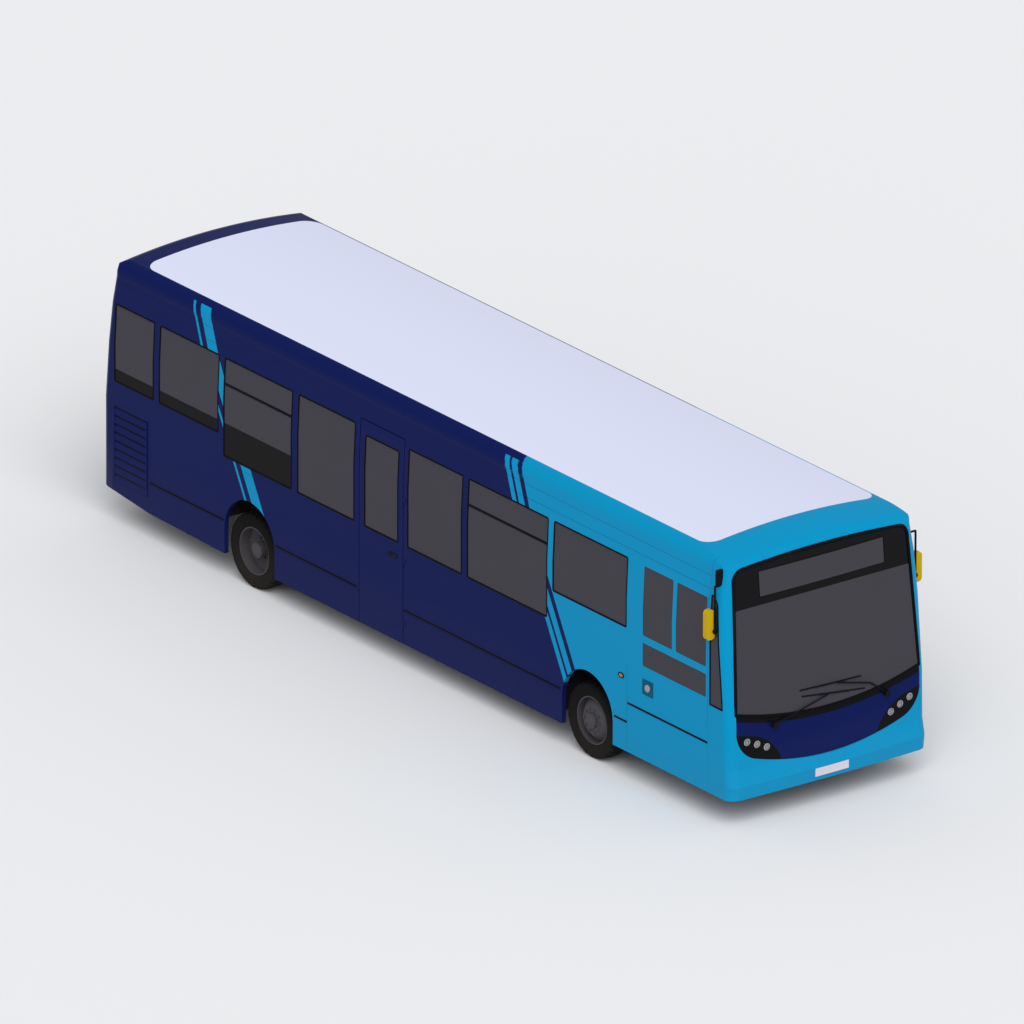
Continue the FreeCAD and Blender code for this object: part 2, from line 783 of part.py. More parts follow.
tailLampPair = bothSides(tailLampHoles)
node("rear_lamps", common(tailPart, tailLampPair))
node("rear_panel", fuse(
    cut(tailPart, rearWindow, coverOpening, tailLampHoles, mirrored(tailLampHoles), *coverMovingRoom), *coverFixed))
node("rear_window", common(pane, rearWindow))
node("engine_cover", fuse(cut(common(body, cover), *coverFixedRoom), *coverMoving))

# Floor, its step up over the rear axle, and the boxes over the wheels.
stepY = behind("floorStep")
floorX = ("-%s" % insideX, insideX)
floorUnder = "(floorZ - floorThickness)"
rearFloorUnder = "(rearFloorZ - floorThickness)"
benchY = behind("benchFront")


def wheelBoxSpace(axle, half, inX, wall):
    return box(("%s - %s" % (inX, wall), beyondRight),
               ("%s - %s - %s" % (axle, half, wall), "%s + %s + %s" % (axle, half, wall)),
               ("-overrun", "boxTopZ + %s" % wall))


frontBoxSpace = wheelBoxSpace(frontAxle, "frontBoxHalfLength", "frontBoxX", "boxWall")
rearBoxSpace = wheelBoxSpace(rearAxle, "rearBoxHalfLength", "rearBoxX", "boxWall")
floorFront = "(-bodyLength / 2 + maskSetback + frontBow + wallThickness + overrun)"
deck = fuse(
    box(floorX, (floorFront, "%s + floorThickness" % stepY), (floorUnder, "floorZ")),
    box(floorX, (stepY, "%s + floorThickness" % stepY), (floorUnder, "rearFloorZ")),
    box(floorX, (stepY, "%s + floorThickness" % benchY), (rearFloorUnder, "rearFloorZ")),
    box(floorX, (benchY, "%s + floorThickness" % benchY), (rearFloorUnder, "benchTopZ")),
    box(floorX, (benchY, seamR), ("benchTopZ - floorThickness", "benchTopZ")))
exitSill = box(("-" + side, "-%s + jointGap" % insideX), ("%s - jointGap" % exitY[0], "%s + jointGap" % exitY[1]),
               ("0", "exitHeadZ"))
node("floor_deck", common(cut(deck, frontBoxSpace, mirrored(frontBoxSpace), rearBoxSpace,
                              mirrored(rearBoxSpace), exitSill), inner))


def wheelBox(axle, half, inX, foot):
    outside = box((inX, insideX), ("%s - %s" % (axle, half), "%s + %s" % (axle, half)), (foot, "boxTopZ + boxWall"))
    inside = box(("%s + boxWall" % inX, "%s + overrun" % insideX),
                 ("%s - %s + boxWall" % (axle, half), "%s + %s - boxWall" % (axle, half)),
                 ("%s - overrun" % foot, "boxTopZ"))
    return cut(outside, inside)


node("wheel_boxes", bothSides(group(
    wheelBox(frontAxle, "(frontBoxHalfLength + boxWall)", "(frontBoxX - boxWall)", floorUnder),
    wheelBox(rearAxle, "(rearBoxHalfLength + boxWall)", "(rearBoxX - boxWall)", rearFloorUnder))))

# Chassis: two rails that kick up over the rear axle, with cross members.
railTop = floorUnder
kickStart = "(floorStep + floorThickness)"
kickEnd = "(floorStep + floorThickness + railKick)"
railOutline = [
    (ahead("railFront"), "%s - railHeight" % railTop), (behind(kickStart), "%s - railHeight" % railTop),
    (behind(kickEnd), "%s - railHeight" % rearFloorUnder),
    (behind("railRear"), "%s - railHeight" % rearFloorUnder), (behind("railRear"), rearFloorUnder),
    (behind(kickEnd), rearFloorUnder), (behind(kickStart), railTop), (ahead("railFront"), railTop),
]
rail = slab("YZ", railOutline, "railX - railWidth / 2", "railX + railWidth / 2")


def crossMember(y, top):
    return box(("-railX", "railX"), ("%s - crossWidth / 2" % y, "%s + crossWidth / 2" % y),
               ("%s - railHeight" % top, top))


lowCrossCount = 8
highCrossShares = [0, 0.13, 0.45, 0.63, 1]
crosses = []
for step in range(lowCrossCount + 1):
    y = "(-railFront + crossWidth + (railFront + floorStep - crossWidth * 2) * %d / %d)" % (step, lowCrossCount)
    crosses.append(crossMember(behind(y), railTop))
for share in highCrossShares:
    y = "(%s + (railRear - crossWidth - %s) * %g)" % (kickEnd, kickEnd, share)
    crosses.append(crossMember(behind(y), rearFloorUnder))
railMiddle = "(%s - railHeight / 2)" % railTop
rearRailMiddle = "(%s - railHeight / 2)" % rearFloorUnder
lugX = ("-lugWidth / 2", "lugWidth / 2")


def towingLug(spanY, eyeY, middle):
    """A flat lug with an upright hole for the towing pin."""
    plate = box(lugX, spanY, ("%s - lugThickness / 2" % middle, "%s + lugThickness / 2" % middle))
    return cut(plate, rod("Z", "eyeRadius", ("%s - lugThickness" % middle, "%s + lugThickness" % middle), y=eyeY))


frontLug = towingLug((ahead("railFront + lugReach"), ahead("railFront - crossWidth")),
                     ahead("railFront + lugReach / 2"), railMiddle)
rearLug = towingLug((behind("railRear - crossWidth"), behind("railRear + lugReach")),
                    behind("railRear + lugReach / 2"), rearRailMiddle)
pads = []
for y, top in ((behind("jackFront"), railTop), (behind("jackRear"), rearFloorUnder)):
    for sign in ("-", ""):
        x = "%s(railX)" % sign
        pads.append(box(("%s - railWidth" % x, "%s + railWidth" % x), ("%s - railWidth" % y, "%s + railWidth" % y),
                        ("%s - railHeight - padThickness" % top, "%s - railHeight" % top)))
cradleZ = ("engineFootZ - cradleThickness", "engineFootZ")
for y in (behind("engineFront + crossWidth * 2"), behind("engineRear - crossWidth * 2")):
    span = ("%s - crossWidth / 2" % y, "%s + crossWidth / 2" % y)
    pads.append(box(("-railX", "railX"), span, cradleZ))
    for sign in ("-", ""):
        x = "%s(railX)" % sign
        pads.append(box(("%s - railWidth / 2" % x, "%s + railWidth / 2" % x), span,
                        (cradleZ[0], "%s - railHeight" % rearFloorUnder)))
node("chassis_frame", fuse(rail, mirrored(rail), *crosses, frontLug, rearLug, *pads))


# Wheels, each turned round the X axis: tyre and rim are separate pieces.
def turned(name, points):
    """A PartDesign body made by turning half an outline in XY round the X axis."""
    made = doc.addObject("PartDesign::Body", name)
    sketch = made.newObject("Sketcher::SketchObject", name + "Outline")
    plane = [item for item in made.Origin.OriginFeatures if item.Role == "XY_Plane"][0]
    sketch.AttachmentSupport = [(plane, "")]
    sketch.MapMode = "FlatFace"
    drawOutline(sketch, points)
    turn = made.newObject("PartDesign::Revolution", name + "Turn")
    turn.Profile = sketch
    turn.ReferenceAxis = (sketch, ["H_Axis"])
    turn.Angle = 360
    made.Tip = turn
    return made


halfTread = "(tyreWidth / 2)"
treadR = "(tyreDiameter / 2)"
beadR = "(rimDiameter / 2)"


def tyre(name):
    return turned(name, [
        ("-tyreWidth / 2 + beadInset", beadR), ("tyreWidth / 2 - beadInset", beadR, "sidewallRadius", 1),
        ("tyreWidth / 2 - shoulderInset", "tyreDiameter / 2 - shoulderDrop", "shoulderRadius", 1),
        ("tyreWidth / 2 - treadInset", treadR), ("-tyreWidth / 2 + treadInset", treadR, "shoulderRadius", 1),
        ("-tyreWidth / 2 + shoulderInset", "tyreDiameter / 2 - shoulderDrop", "sidewallRadius", 1),
    ])


def rim(name, discX, dish):
    """A barrel with a disc standing at discX from the wheel's centre plane."""
    inR = "(rimDiameter / 2 - rimWall)"
    back = "(%s - discThickness)" % discX
    return turned(name, [
        ("-rimWidth / 2", inR), ("%s - %s" % (back, dish), inR), (back, "discFlatRadius"),
        (back, "hubBoreRadius - rimWall"), (discX, "hubBoreRadius - rimWall"),
        (discX, "discFlatRadius"), ("%s - %s" % (discX, dish), inR), ("rimWidth / 2", inR),
        ("rimWidth / 2", beadR), ("-rimWidth / 2", beadR),
    ])


def wheel(x, y, flip, discX, dish, name):
    """Tyre and rim at a hub; flip turns the dish to the other side of the bus."""
    pieces = []
    for made in (tyre(name + "Tyre"), rim(name + "Rim", discX, dish)):
        if flip:
            made.Placement.Rotation = FreeCAD.Rotation(Vector(0, 0, 1), 180)
        pieces.append(place(made, x, y, wheelZ))
    return pieces


def hub(span, bore, y, flip):
    """A hub along X with a blind bore for its stub axle; flip mirrors it to the offside."""
    made = cut(rod("X", "hubBoreRadius", span, y=y, z=wheelZ),
               rod("X", "stubRadius + seatGap", bore, y=y, z=wheelZ))
    return mirrored(made) if flip else made


for end, sign in (("right", "-"), ("left", "")):
    flip = sign == "-"
    frontTyre, frontRim = wheel(sign + "wheelCentreX", frontAxle, flip, "frontDiscX", "discDish", "Front" + end)
    node("tyre_front_" + end, frontTyre)
    frontHub = hub(("wheelCentreX - frontHubBack", "wheelCentreX + frontDiscX + hubCap"),
                   ("wheelCentreX - frontHubBack - overrun", "wheelCentreX + stubReach + seatGap"), frontAxle, flip)
    node("rim_front_" + end, fuse(frontRim, frontHub))
    outerTyre, outerRim = wheel(sign + "wheelCentreX", rearAxle, flip, "rearDiscX", "rearDiscDish",
                                "RearOuter" + end)
    innerTyre, innerRim = wheel("%s(wheelCentreX - twinSpacing)" % sign, rearAxle, not flip, "rearDiscX",
                                "rearDiscDish", "RearInner" + end)
    node("tyres_rear_" + end, group(outerTyre, innerTyre))
    rearHub = hub(("wheelCentreX - twinSpacing / 2 - hubHalf", "wheelCentreX + rearHubReach"),
                  ("wheelCentreX - twinSpacing / 2 - hubHalf - overrun", "wheelCentreX + stubReach / 2 + seatGap"),
                  rearAxle, flip)
    node("rims_rear_" + end, fuse(outerRim, innerRim, rearHub))

# Front axle: a dropped beam, a knuckle and brake drum at each end.
beamTopZ = "(beamZ + beamHeight)"
beamHalf = [
    ("0", "beamZ"), ("beamSwanX", "beamZ"), ("beamEndX", "%s - beamHeight / 2" % wheelZ),
    ("kingpinX", "%s - beamHeight / 2" % wheelZ), ("kingpinX", "%s + beamHeight / 2" % wheelZ),
    ("beamEndX", "%s + beamHeight / 2" % wheelZ), ("beamSwanX", beamTopZ), ("0", beamTopZ),
]
beam = slab("XZ", beamHalf, "%s - beamDepth / 2" % frontAxle, "%s + beamDepth / 2" % frontAxle)
beamEye = rod("Z", "beamDepth / 2", ("%s - beamHeight / 2" % wheelZ, "%s + beamHeight / 2" % wheelZ),
              x="kingpinX", y=frontAxle)
pinHole = rod("Z", "kingpinRadius + seatGap / 2", ("beamZ", "boxTopZ"), x="kingpinX", y=frontAxle)
node("front_axle", fuse(cut(fuse(beam, beamEye), pinHole), mirrored(cut(fuse(beam, beamEye), pinHole))))


def knuckle():
    low = "(%s - knuckleHeight / 2)" % wheelZ
    high = "(%s + knuckleHeight / 2)" % wheelZ
    yoke = box(("kingpinX - knuckleDepth / 2", "kingpinX + beamDepth / 2 + knuckleWeb"),
               ("%s - knuckleDepth / 2" % frontAxle, "%s + knuckleDepth / 2" % frontAxle), (low, high))
    jaw = box(("kingpinX - beamDepth", "kingpinX + beamDepth / 2 + jointGap / 2"),
              ("%s - beamDepth" % frontAxle, "%s + beamDepth" % frontAxle),
              ("%s - beamHeight / 2 - jointGap / 2" % wheelZ, "%s + beamHeight / 2 + jointGap / 2" % wheelZ))
    pin = rod("Z", "kingpinRadius", (low, high), x="kingpinX", y=frontAxle)
    stub = rod("X", "stubRadius", ("kingpinX + beamDepth / 2 + jointGap / 2", "wheelCentreX + stubReach"),
               y=frontAxle, z=wheelZ)
    return fuse(cut(yoke, jaw), pin, stub)


node("knuckle_right", mirrored(knuckle()))
node("knuckle_left", knuckle())

# Rear axle: tube, drive housing and the air springs over both axles.
tubeEnd = "(wheelCentreX - twinSpacing / 2 - hubHalf - jointGap)"
spindleEnd = "(wheelCentreX + stubReach / 2)"
node("rear_axle", fuse(
    rod("X", "axleTubeRadius", ("-" + tubeEnd, tubeEnd), y=rearAxle, z=wheelZ),
    rod("X", "stubRadius", ("-" + spindleEnd, spindleEnd), y=rearAxle, z=wheelZ),
    rod("X", "diffRadius", ("-diffWidth / 2", "diffWidth / 2"), y=rearAxle, z=wheelZ)))
frontBag = rod("Z", "bagRadius", (beamTopZ, floorUnder), x="bagX", y=frontAxle)
rearBag = rod("Z", "bagRadius", ("%s + axleTubeRadius" % wheelZ, rearFloorUnder), x="bagX", y=rearAxle)
node("air_springs", bothSides(group(frontBag, rearBag)))


# Entrance: two posts, each with a low and a high arm, and a leaf hung at the end of the arms.
frontPostY = "(%s + postFromJamb)" % doorY[0]
rearPostY = "(%s - postFromJamb)" % doorY[1]
armLength = "((doorFrontJamb - doorRearJamb) / 4 - postFromJamb / 2 - leafNose / 2)"
lowArmZ = ("(floorZ + runningGap)", "(floorZ + runningGap + armHeight)")
highArmZ = ("(doorHeadZ - runningGap - armHeight)", "(doorHeadZ - runningGap)")
leafFootZ = "(%s + runningGap)" % lowArmZ[1]
leafHeadZ = "(%s - runningGap)" % highArmZ[0]
leafX = ("%s - leafThickness / 2" % pivotX, "%s + leafThickness / 2" % pivotX)


def doorPost(y, towards):
    """A post with an arm under the leaf and one over it, each with a pin at its end."""
    end = "%s %s %s" % (y, towards, armLength)
    span = (y, end) if towards == "+" else (end, y)
    pieces = [rod("Z", "postRadius", ("floorZ + seatGap", "doorHeadZ - seatGap"), x=pivotX, y=y)]
    for level, pin in ((lowArmZ, (lowArmZ[0], "%s + armPinReach" % leafFootZ)),
                       (highArmZ, ("%s - armPinReach" % leafHeadZ, highArmZ[1]))):
        pieces.append(box(("%s - armWidth / 2" % pivotX, "%s + armWidth / 2" % pivotX), span, level))
        pieces.append(rod("Z", "armWidth / 2", level, x=pivotX, y=end))
        pieces.append(rod("Z", "armPinRadius", pin, x=pivotX, y=end))
    return fuse(*pieces)


def doorLeaf(y, towards):
    """A glazed leaf that hangs between the ends of its post's two arms."""
    heel = "%s %s leafHeel" % (y, towards)
    nose = "%s %s (%s * 2 + leafNose / 2)" % (y, towards, armLength)
    span = (heel, nose) if towards == "+" else (nose, heel)
    outside = roundedBox(leafX, span, (leafFootZ, leafHeadZ), "leafCorner", "YZ")
    hole = roundedBox(("%s - overrun" % leafX[0], "%s + overrun" % leafX[1]),
                      ("%s + leafFrame" % span[0], "%s - leafFrame" % span[1]),
                      ("%s + leafFootFrame" % leafFootZ, "%s - leafFrame" % leafHeadZ), "leafCorner", "YZ")
    pivotY = "%s %s %s" % (y, towards, armLength)
    bores = [rod("Z", "armPinRadius + seatGap", zSpan, x=pivotX, y=pivotY) for zSpan in (
        ("%s - seatGap" % leafFootZ, "%s + armPinReach + seatGap" % leafFootZ),
        ("%s - armPinReach - seatGap" % leafHeadZ, "%s + seatGap" % leafHeadZ))]
    glass = box(("%s - glassThickness / 2" % pivotX, "%s + glassThickness / 2" % pivotX),
                ("%s + leafFrame" % span[0], "%s - leafFrame" % span[1]),
                ("%s + leafFootFrame" % leafFootZ, "%s - leafFrame" % leafHeadZ))
    return cut(outside, hole, *bores), common(glass, hole)


node("door_post_front", doorPost(frontPostY, "+"))
node("door_post_rear", doorPost(rearPostY, "-"))
for end, y, towards in (("front", frontPostY, "+"), ("rear", rearPostY, "-")):
    frameMade, glassMade = doorLeaf(y, towards)
    node("door_leaf_" + end, frameMade)
    node("door_glass_" + end, glassMade)
node("door_header", common(inner, box(("%s - headerDepth" % insideX, side), doorY, ("doorHeadZ", "cantrailZ"))))

# Engine, one plain block between the rails.
node("engine_block", box(("-engineHalfWidth", "engineHalfWidth"), (behind("engineFront"), behind("engineRear")),
                         ("engineFootZ", "engineTopZ")))

# Driver's cab.
cabY = (floorFront, ahead("cabRear"))
cabX = ("-%s" % insideX, "-cabInnerX")
partition = box(("-%s" % insideX, "-cabInnerX"), ("%s - cabWall" % cabY[1], cabY[1]), ("floorZ", "cabWallTopZ"))
node("cab_partition", cut(partition, mirrored(frontBoxSpace)))
dashY = (ahead("dashRear + dashDepth"), ahead("dashRear"))
dash = box(("-%s" % insideX, "-cabInnerX"), dashY, ("cabFloorZ", "dashTopZ"))
node("dashboard", dash)
wheelRim = doc.addObject("Part::Torus", "SteeringRim")
bind(wheelRim, "Radius1", "steerRadius")
bind(wheelRim, "Radius2", "steerRimRadius")
column = rod("Z", "steerRimRadius * 2", ("-steerColumn", "steerRimRadius"))
spoke = rod("X", "steerRimRadius / 2", ("-steerRadius", "steerRadius"))
spokeAcross = rod("Y", "steerRimRadius / 2", ("-steerRadius", "0"))
steering = fuse(wheelRim, column, spoke, spokeAcross)
steering.Placement.Rotation = FreeCAD.Rotation(Vector(-1, 0, 0), sizes["steerTilt"])
node("steering_wheel", cut(place(steering, "-driverX", ahead("steerAhead"), "steerZ"), dash))


def seat(x, y, base, width="seatWidth"):
    """Cushion and back as separate soft blocks; y is the rear of the seat."""
    cushion = roundedBox(("%s - %s / 2" % (x, width), "%s + %s / 2" % (x, width)),
                         ("%s - backLean - seatDepth" % y, "%s - backLean" % y),
                         ("%s + cushionTop - cushionThickness" % base, "%s + cushionTop" % base),
                         "cushionRadius", "YZ")
    foot = "%s + cushionTop + seatGap" % base
    head = "%s + cushionTop + backHeight" % base
    back = slab("YZ", [
        ("%s - backLean - backThickness" % y, foot), ("%s - backLean" % y, foot),
        (y, head), ("%s - backThickness" % y, head),
    ], "%s - %s / 2" % (x, width), "%s + %s / 2" % (x, width))
    return cushion, back


cushions = []
backs = []
frames = []


def pair(side_, y, base, foot):
    """Two seats side by side on one pedestal."""
    inner_ = "%s(seatAisle + seatWidth / 2)" % side_
    outer_ = "%s(seatAisle + seatWidth * 1.5 + jointGap)" % side_
    for x in (inner_, outer_):
        cushion, back = seat(x, y, base)
        cushions.append(cushion)
        backs.append(back)
    middle = "%s(seatAisle + seatWidth)" % side_
    frames.append(box(("%s - seatLeg / 2" % middle, "%s + seatLeg / 2" % middle),
                      ("%s - backLean - seatDepth / 2 - seatLeg" % y, "%s - backLean - seatDepth / 2 + seatLeg" % y),
                      (foot, "%s + cushionTop - cushionThickness - seatGap" % base)))


for row in range(3):
    pair("", behind("frontRowRear + seatPitch * %d" % row), "floorZ", "floorZ")
    if row < 2:
        pair("-", behind("frontRowRear + seatPitch * %d" % row), "floorZ", "floorZ")
for side_ in ("", "-"):
    pair(side_, behind("rearRowRear"), "rearFloorZ", "rearFloorZ")
    pair(side_, behind("rearRowRear + seatPitch"), "rearFloorZ", "boxTopZ + boxWall")
    pair(side_, behind("benchRowRear"), "benchTopZ", "benchTopZ")
node("seat_cushions", group(*cushions))
node("seat_backs", group(*backs))
node("seat_pedestals", group(*frames))
driverCushion, driverBack = seat("-driverX", ahead("driverSeatAhead - seatDepth - backLean"), "cabFloorZ")
driverBase = box(("-driverX - seatLeg * 2", "-driverX + seatLeg * 2"),
                 (ahead("driverSeatAhead - seatLeg"), ahead("driverSeatAhead - seatDepth + seatLeg")),
                 ("floorZ", "cabFloorZ + cushionTop - cushionThickness - seatGap"))
node("driver_seat", group(driverCushion, driverBack, driverBase))

# Mirrors on bent arms, and the two wipers.
mirrorHead = roundedBox(("mirrorX - mirrorWidth / 2", "mirrorX + mirrorWidth / 2"),
                        (ahead("mirrorAhead + mirrorDepth / 2"), ahead("mirrorAhead - mirrorDepth / 2")),
                        ("mirrorFootZ", "mirrorHeadZ"), "mirrorRadius", "XZ")
node("mirror_heads", bothSides(mirrorHead))
mirrorArm = fuse(
    rod("Z", "mirrorArmRadius", ("mirrorFootZ + mirrorDepth", "mirrorArmTopZ"), x="mirrorArmX",
        y=ahead("mirrorAhead + mirrorDepth / 2 + mirrorArmRadius + seatGap")),
    rod("X", "mirrorArmRadius", ("%s - coveInset - wallThickness / 2" % side, "mirrorArmX"),
        y=ahead("mirrorAhead + mirrorDepth / 2 + mirrorArmRadius + seatGap"), z="mirrorArmTopZ"))
node("mirror_arms", cut(bothSides(mirrorArm), outer))
screenFace = "(-bodyLength / 2 + maskSetback)"
node("wipers", bothSides(cut(
    rod("Y", "wiperHubRadius", ("%s - wiperReach" % screenFace, "%s + frontBow" % screenFace),
        x="wiperPivotX", z="wiperPivotZ"), outer)))

# Every piece is checked and written.
doc.recompute()
failed = [item for item in doc.Objects if "Invalid" in item.State or "Error" in item.State]
if failed:
    raise RuntimeError("failed: " + ", ".join(item.Label + " " + item.Name for item in failed))
os.makedirs("parts", exist_ok=True)
for label, item in nodes.items():
    if item.Shape.isNull() or not item.Shape.isValid():
        raise RuntimeError("%s has no valid shape" % label)
    item.Shape.exportStep("parts/%s.step" % label)
print(len(nodes), "pieces written")
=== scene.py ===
import math

import bmesh
import bpy
from mathutils import Matrix, Vector


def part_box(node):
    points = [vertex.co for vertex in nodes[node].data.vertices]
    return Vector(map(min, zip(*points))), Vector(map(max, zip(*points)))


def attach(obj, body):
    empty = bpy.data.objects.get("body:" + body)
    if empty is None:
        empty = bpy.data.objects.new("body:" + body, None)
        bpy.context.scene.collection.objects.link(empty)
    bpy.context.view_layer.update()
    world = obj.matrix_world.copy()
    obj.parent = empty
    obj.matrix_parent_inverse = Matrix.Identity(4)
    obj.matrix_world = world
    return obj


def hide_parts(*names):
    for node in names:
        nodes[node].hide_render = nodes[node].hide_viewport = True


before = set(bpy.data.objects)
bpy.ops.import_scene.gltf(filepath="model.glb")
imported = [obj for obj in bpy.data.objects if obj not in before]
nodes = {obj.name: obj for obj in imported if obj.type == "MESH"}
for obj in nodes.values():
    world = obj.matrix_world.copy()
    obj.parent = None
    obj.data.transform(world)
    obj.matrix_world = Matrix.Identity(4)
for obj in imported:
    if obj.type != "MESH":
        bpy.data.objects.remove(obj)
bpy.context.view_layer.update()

# the wheels' centres
axles = {
    "front": -2.850,
    "rear": 2.710,
    "z": 0.395,
}

# a long lens far off, so the view is nearly parallel, as in the photograph
view = {
    "right": (0.79907, -0.60123, 0.00158),
    "up": (0.22275, 0.29849, 0.92806),
    "pixelsPerMetre": 101.62,
    "lens": 1550.0,
    "sensor": 36.0,
    "picture": 1024,
    "aimRight": -1.7135,     # both from the ground under the front axle
    "aimUp": 2.1556,
}


def makeCamera():
    right = Vector(view["right"]).normalized()
    up = Vector(view["up"]).normalized()
    back = right.cross(up).normalized()
    up = back.cross(right)
    aim = Vector((0, axles["front"], 0)) + right * view["aimRight"] + up * view["aimUp"]
    distance = view["lens"] / view["sensor"] * view["picture"] / view["pixelsPerMetre"]
    data = bpy.data.cameras.new("camera")
    data.lens = view["lens"]
    data.sensor_width = view["sensor"]
    data.clip_start = 1.0
    data.clip_end = 2000.0
    camera = bpy.data.objects.new("camera", data)
    bpy.context.scene.collection.objects.link(camera)
    turn = Matrix((right, up, back)).transposed().to_4x4()
    turn.translation = aim + back * distance
    camera.matrix_world = turn
    bpy.context.scene.camera = camera


makeCamera()
print("camera set")


def tone(r, g, b, a=1.0):
    # screen colour, 0 to 255, as a linear colour
    def linear(c):
        c = c / 255
        return c / 12.92 if c <= 0.04045 else ((c + 0.055) / 1.055) ** 2.4
    return (linear(r), linear(g), linear(b), a)


def setMode(kind):
    bpy.ops.object.mode_set(mode=kind)


def applyPlace():
    bpy.ops.object.transform_apply(location=True, rotation=True, scale=True)


def deselectAll():
    if bpy.context.object and bpy.context.object.mode != "OBJECT":
        setMode("OBJECT")
    bpy.ops.object.select_all(action="DESELECT")


def activate(piece):
    deselectAll()
    piece.select_set(True)
    bpy.context.view_layer.objects.active = piece


def newMaterial(name):
    made = bpy.data.materials.new(name)
    made.use_nodes = True
    tree = made.node_tree
    return made, tree, tree.nodes["Principled BSDF"]


def wire(tree, a, b):
    tree.links.new(a, b)


def feed(tree, node, values):
    # each input is set to its value, or wired where that is a socket
    for key, value in values.items():
        if isinstance(value, (int, float, tuple)):
            node.inputs[key].default_value = value
        else:
            wire(tree, value, node.inputs[key])


def sums(tree, kind, *values, clamp=False):
    # one maths node; each input is a number or a socket
    node = tree.nodes.new("ShaderNodeMath")
    node.operation = kind
    node.use_clamp = clamp
    feed(tree, node, dict(enumerate(values)))
    return node.outputs[0]


def times(tree, value, *others):
    for other in others:
        value = sums(tree, "MULTIPLY", value, other)
    return value


def plus(tree, value, *others):
    for other in others:
        value = sums(tree, "ADD", value, other)
    return value


def minus(tree, value, other):
    return sums(tree, "SUBTRACT", value, other)


def isOver(tree, value, limit):
    return sums(tree, "GREATER_THAN", value, limit)


def isUnder(tree, value, limit):
    return sums(tree, "LESS_THAN", value, limit)


def isWithin(tree, value, half):
    return isUnder(tree, sums(tree, "ABSOLUTE", value), half)


def lengthOf(tree, a, b):
    return sums(tree, "SQRT", plus(tree, times(tree, a, a), times(tree, b, b)))


def waves(tree, value, count):
    return sums(tree, "SINE", times(tree, value, count))


def blendTones(tree, share, a, b):
    node = tree.nodes.new("ShaderNodeMix")
    node.data_type = "RGBA"
    feed(tree, node, {0: share, 6: a, 7: b})
    return node.outputs[2]


def between(tree, value, low, high):
    # 1 where low < value < high
    return times(tree, isOver(tree, value, low), isUnder(tree, value, high))


def places(tree):
    at = tree.nodes.new("ShaderNodeTexCoord").outputs["Object"]
    split = tree.nodes.new("ShaderNodeSeparateXYZ")
    wire(tree, at, split.inputs[0])
    return at, split.outputs[0], split.outputs[1], split.outputs[2]


def noise(tree, at, values):
    node = tree.nodes.new("ShaderNodeTexNoise")
    feed(tree, node, {"Vector": at, **values})
    return node.outputs["Fac"]


# road film low on the body and fine mottling, shared by most finishes
weathering = {
    "top": 0.9,              # the film fades out at this height
    "tone": tone(96, 90, 82),
    "patchScale": 1.3,
    "patchLift": 0.15,
    "mottle": (0.08, 0.96),
    "filmRough": 0.9,
    "grainRough": 0.06,
}


def makeWeather():
    group = bpy.data.node_groups.new("weather", "ShaderNodeTree")
    face = group.interface
    for name, kind, value in (("Tint", "Color", (1, 1, 1, 1)), ("Dust", "Float", 0.15),
                              ("Grain", "Float", 40.0), ("Gloss", "Float", 0.3)):
        socket = face.new_socket(name=name, in_out="INPUT", socket_type="NodeSocket" + kind)
        socket.default_value = value
    for name, kind in (("Color", "Color"), ("Roughness", "Float"), ("Height", "Float")):
        face.new_socket(name=name, in_out="OUTPUT", socket_type="NodeSocket" + kind)
    enter = group.nodes.new("NodeGroupInput")
    leave = group.nodes.new("NodeGroupOutput")
    at, x, y, z = places(group)
    cloud = noise(group, at, {"Scale": weathering["patchScale"], "Detail": 3.0})
    fine = noise(group, at, {"Scale": enter.outputs["Grain"], "Detail": 4.0})
    low = sums(group, "SUBTRACT", 1.0, sums(group, "DIVIDE", z, weathering["top"]), clamp=True)
    patch = times(group, low, plus(group, cloud, weathering["patchLift"]))
    film = sums(group, "MULTIPLY", patch, enter.outputs["Dust"], clamp=True)
    shade = group.nodes.new("ShaderNodeVectorMath")
    shade.operation = "SCALE"
    feed(group, shade, {0: enter.outputs["Tint"],
                        "Scale": sums(group, "MULTIPLY_ADD", fine, *weathering["mottle"])})
    rough = plus(group, enter.outputs["Gloss"], times(group, film, weathering["filmRough"]))
    rough = sums(group, "ADD", rough, times(group, fine, weathering["grainRough"]), clamp=True)
    feed(group, leave, {"Color": blendTones(group, film, shade.outputs[0], weathering["tone"]),
                        "Roughness": rough, "Height": fine})
    return group


weather = makeWeather()


def filmOn(tree, shader, colour, gloss, dust, grain):
    film = tree.nodes.new("ShaderNodeGroup")
    film.node_tree = weather
    feed(tree, film, {"Tint": colour, "Dust": dust, "Grain": grain, "Gloss": gloss})
    feed(tree, shader, {"Base Color": film.outputs["Color"], "Roughness": film.outputs["Roughness"]})
    return film


def bumpOn(tree, shader, height, strength, reach=0.004):
    bumpNode = tree.nodes.new("ShaderNodeBump")
    feed(tree, bumpNode, {"Strength": strength, "Distance": reach, "Height": height})
    wire(tree, bumpNode.outputs[0], shader.inputs["Normal"])


def finish(name, colour, gloss=0.4, metal=0.0, dust=0.15, grain=40.0, bump=0.02, shine=0.3):
    # a plain finish with the shared weathering on it
    made, tree, shader = newMaterial(name)
    film = filmOn(tree, shader, colour, gloss, dust, grain)
    feed(tree, shader, {"Metallic": metal, "Specular IOR Level": shine})
    if bump:
        bumpOn(tree, shader, film.outputs["Height"], bump)
    return made


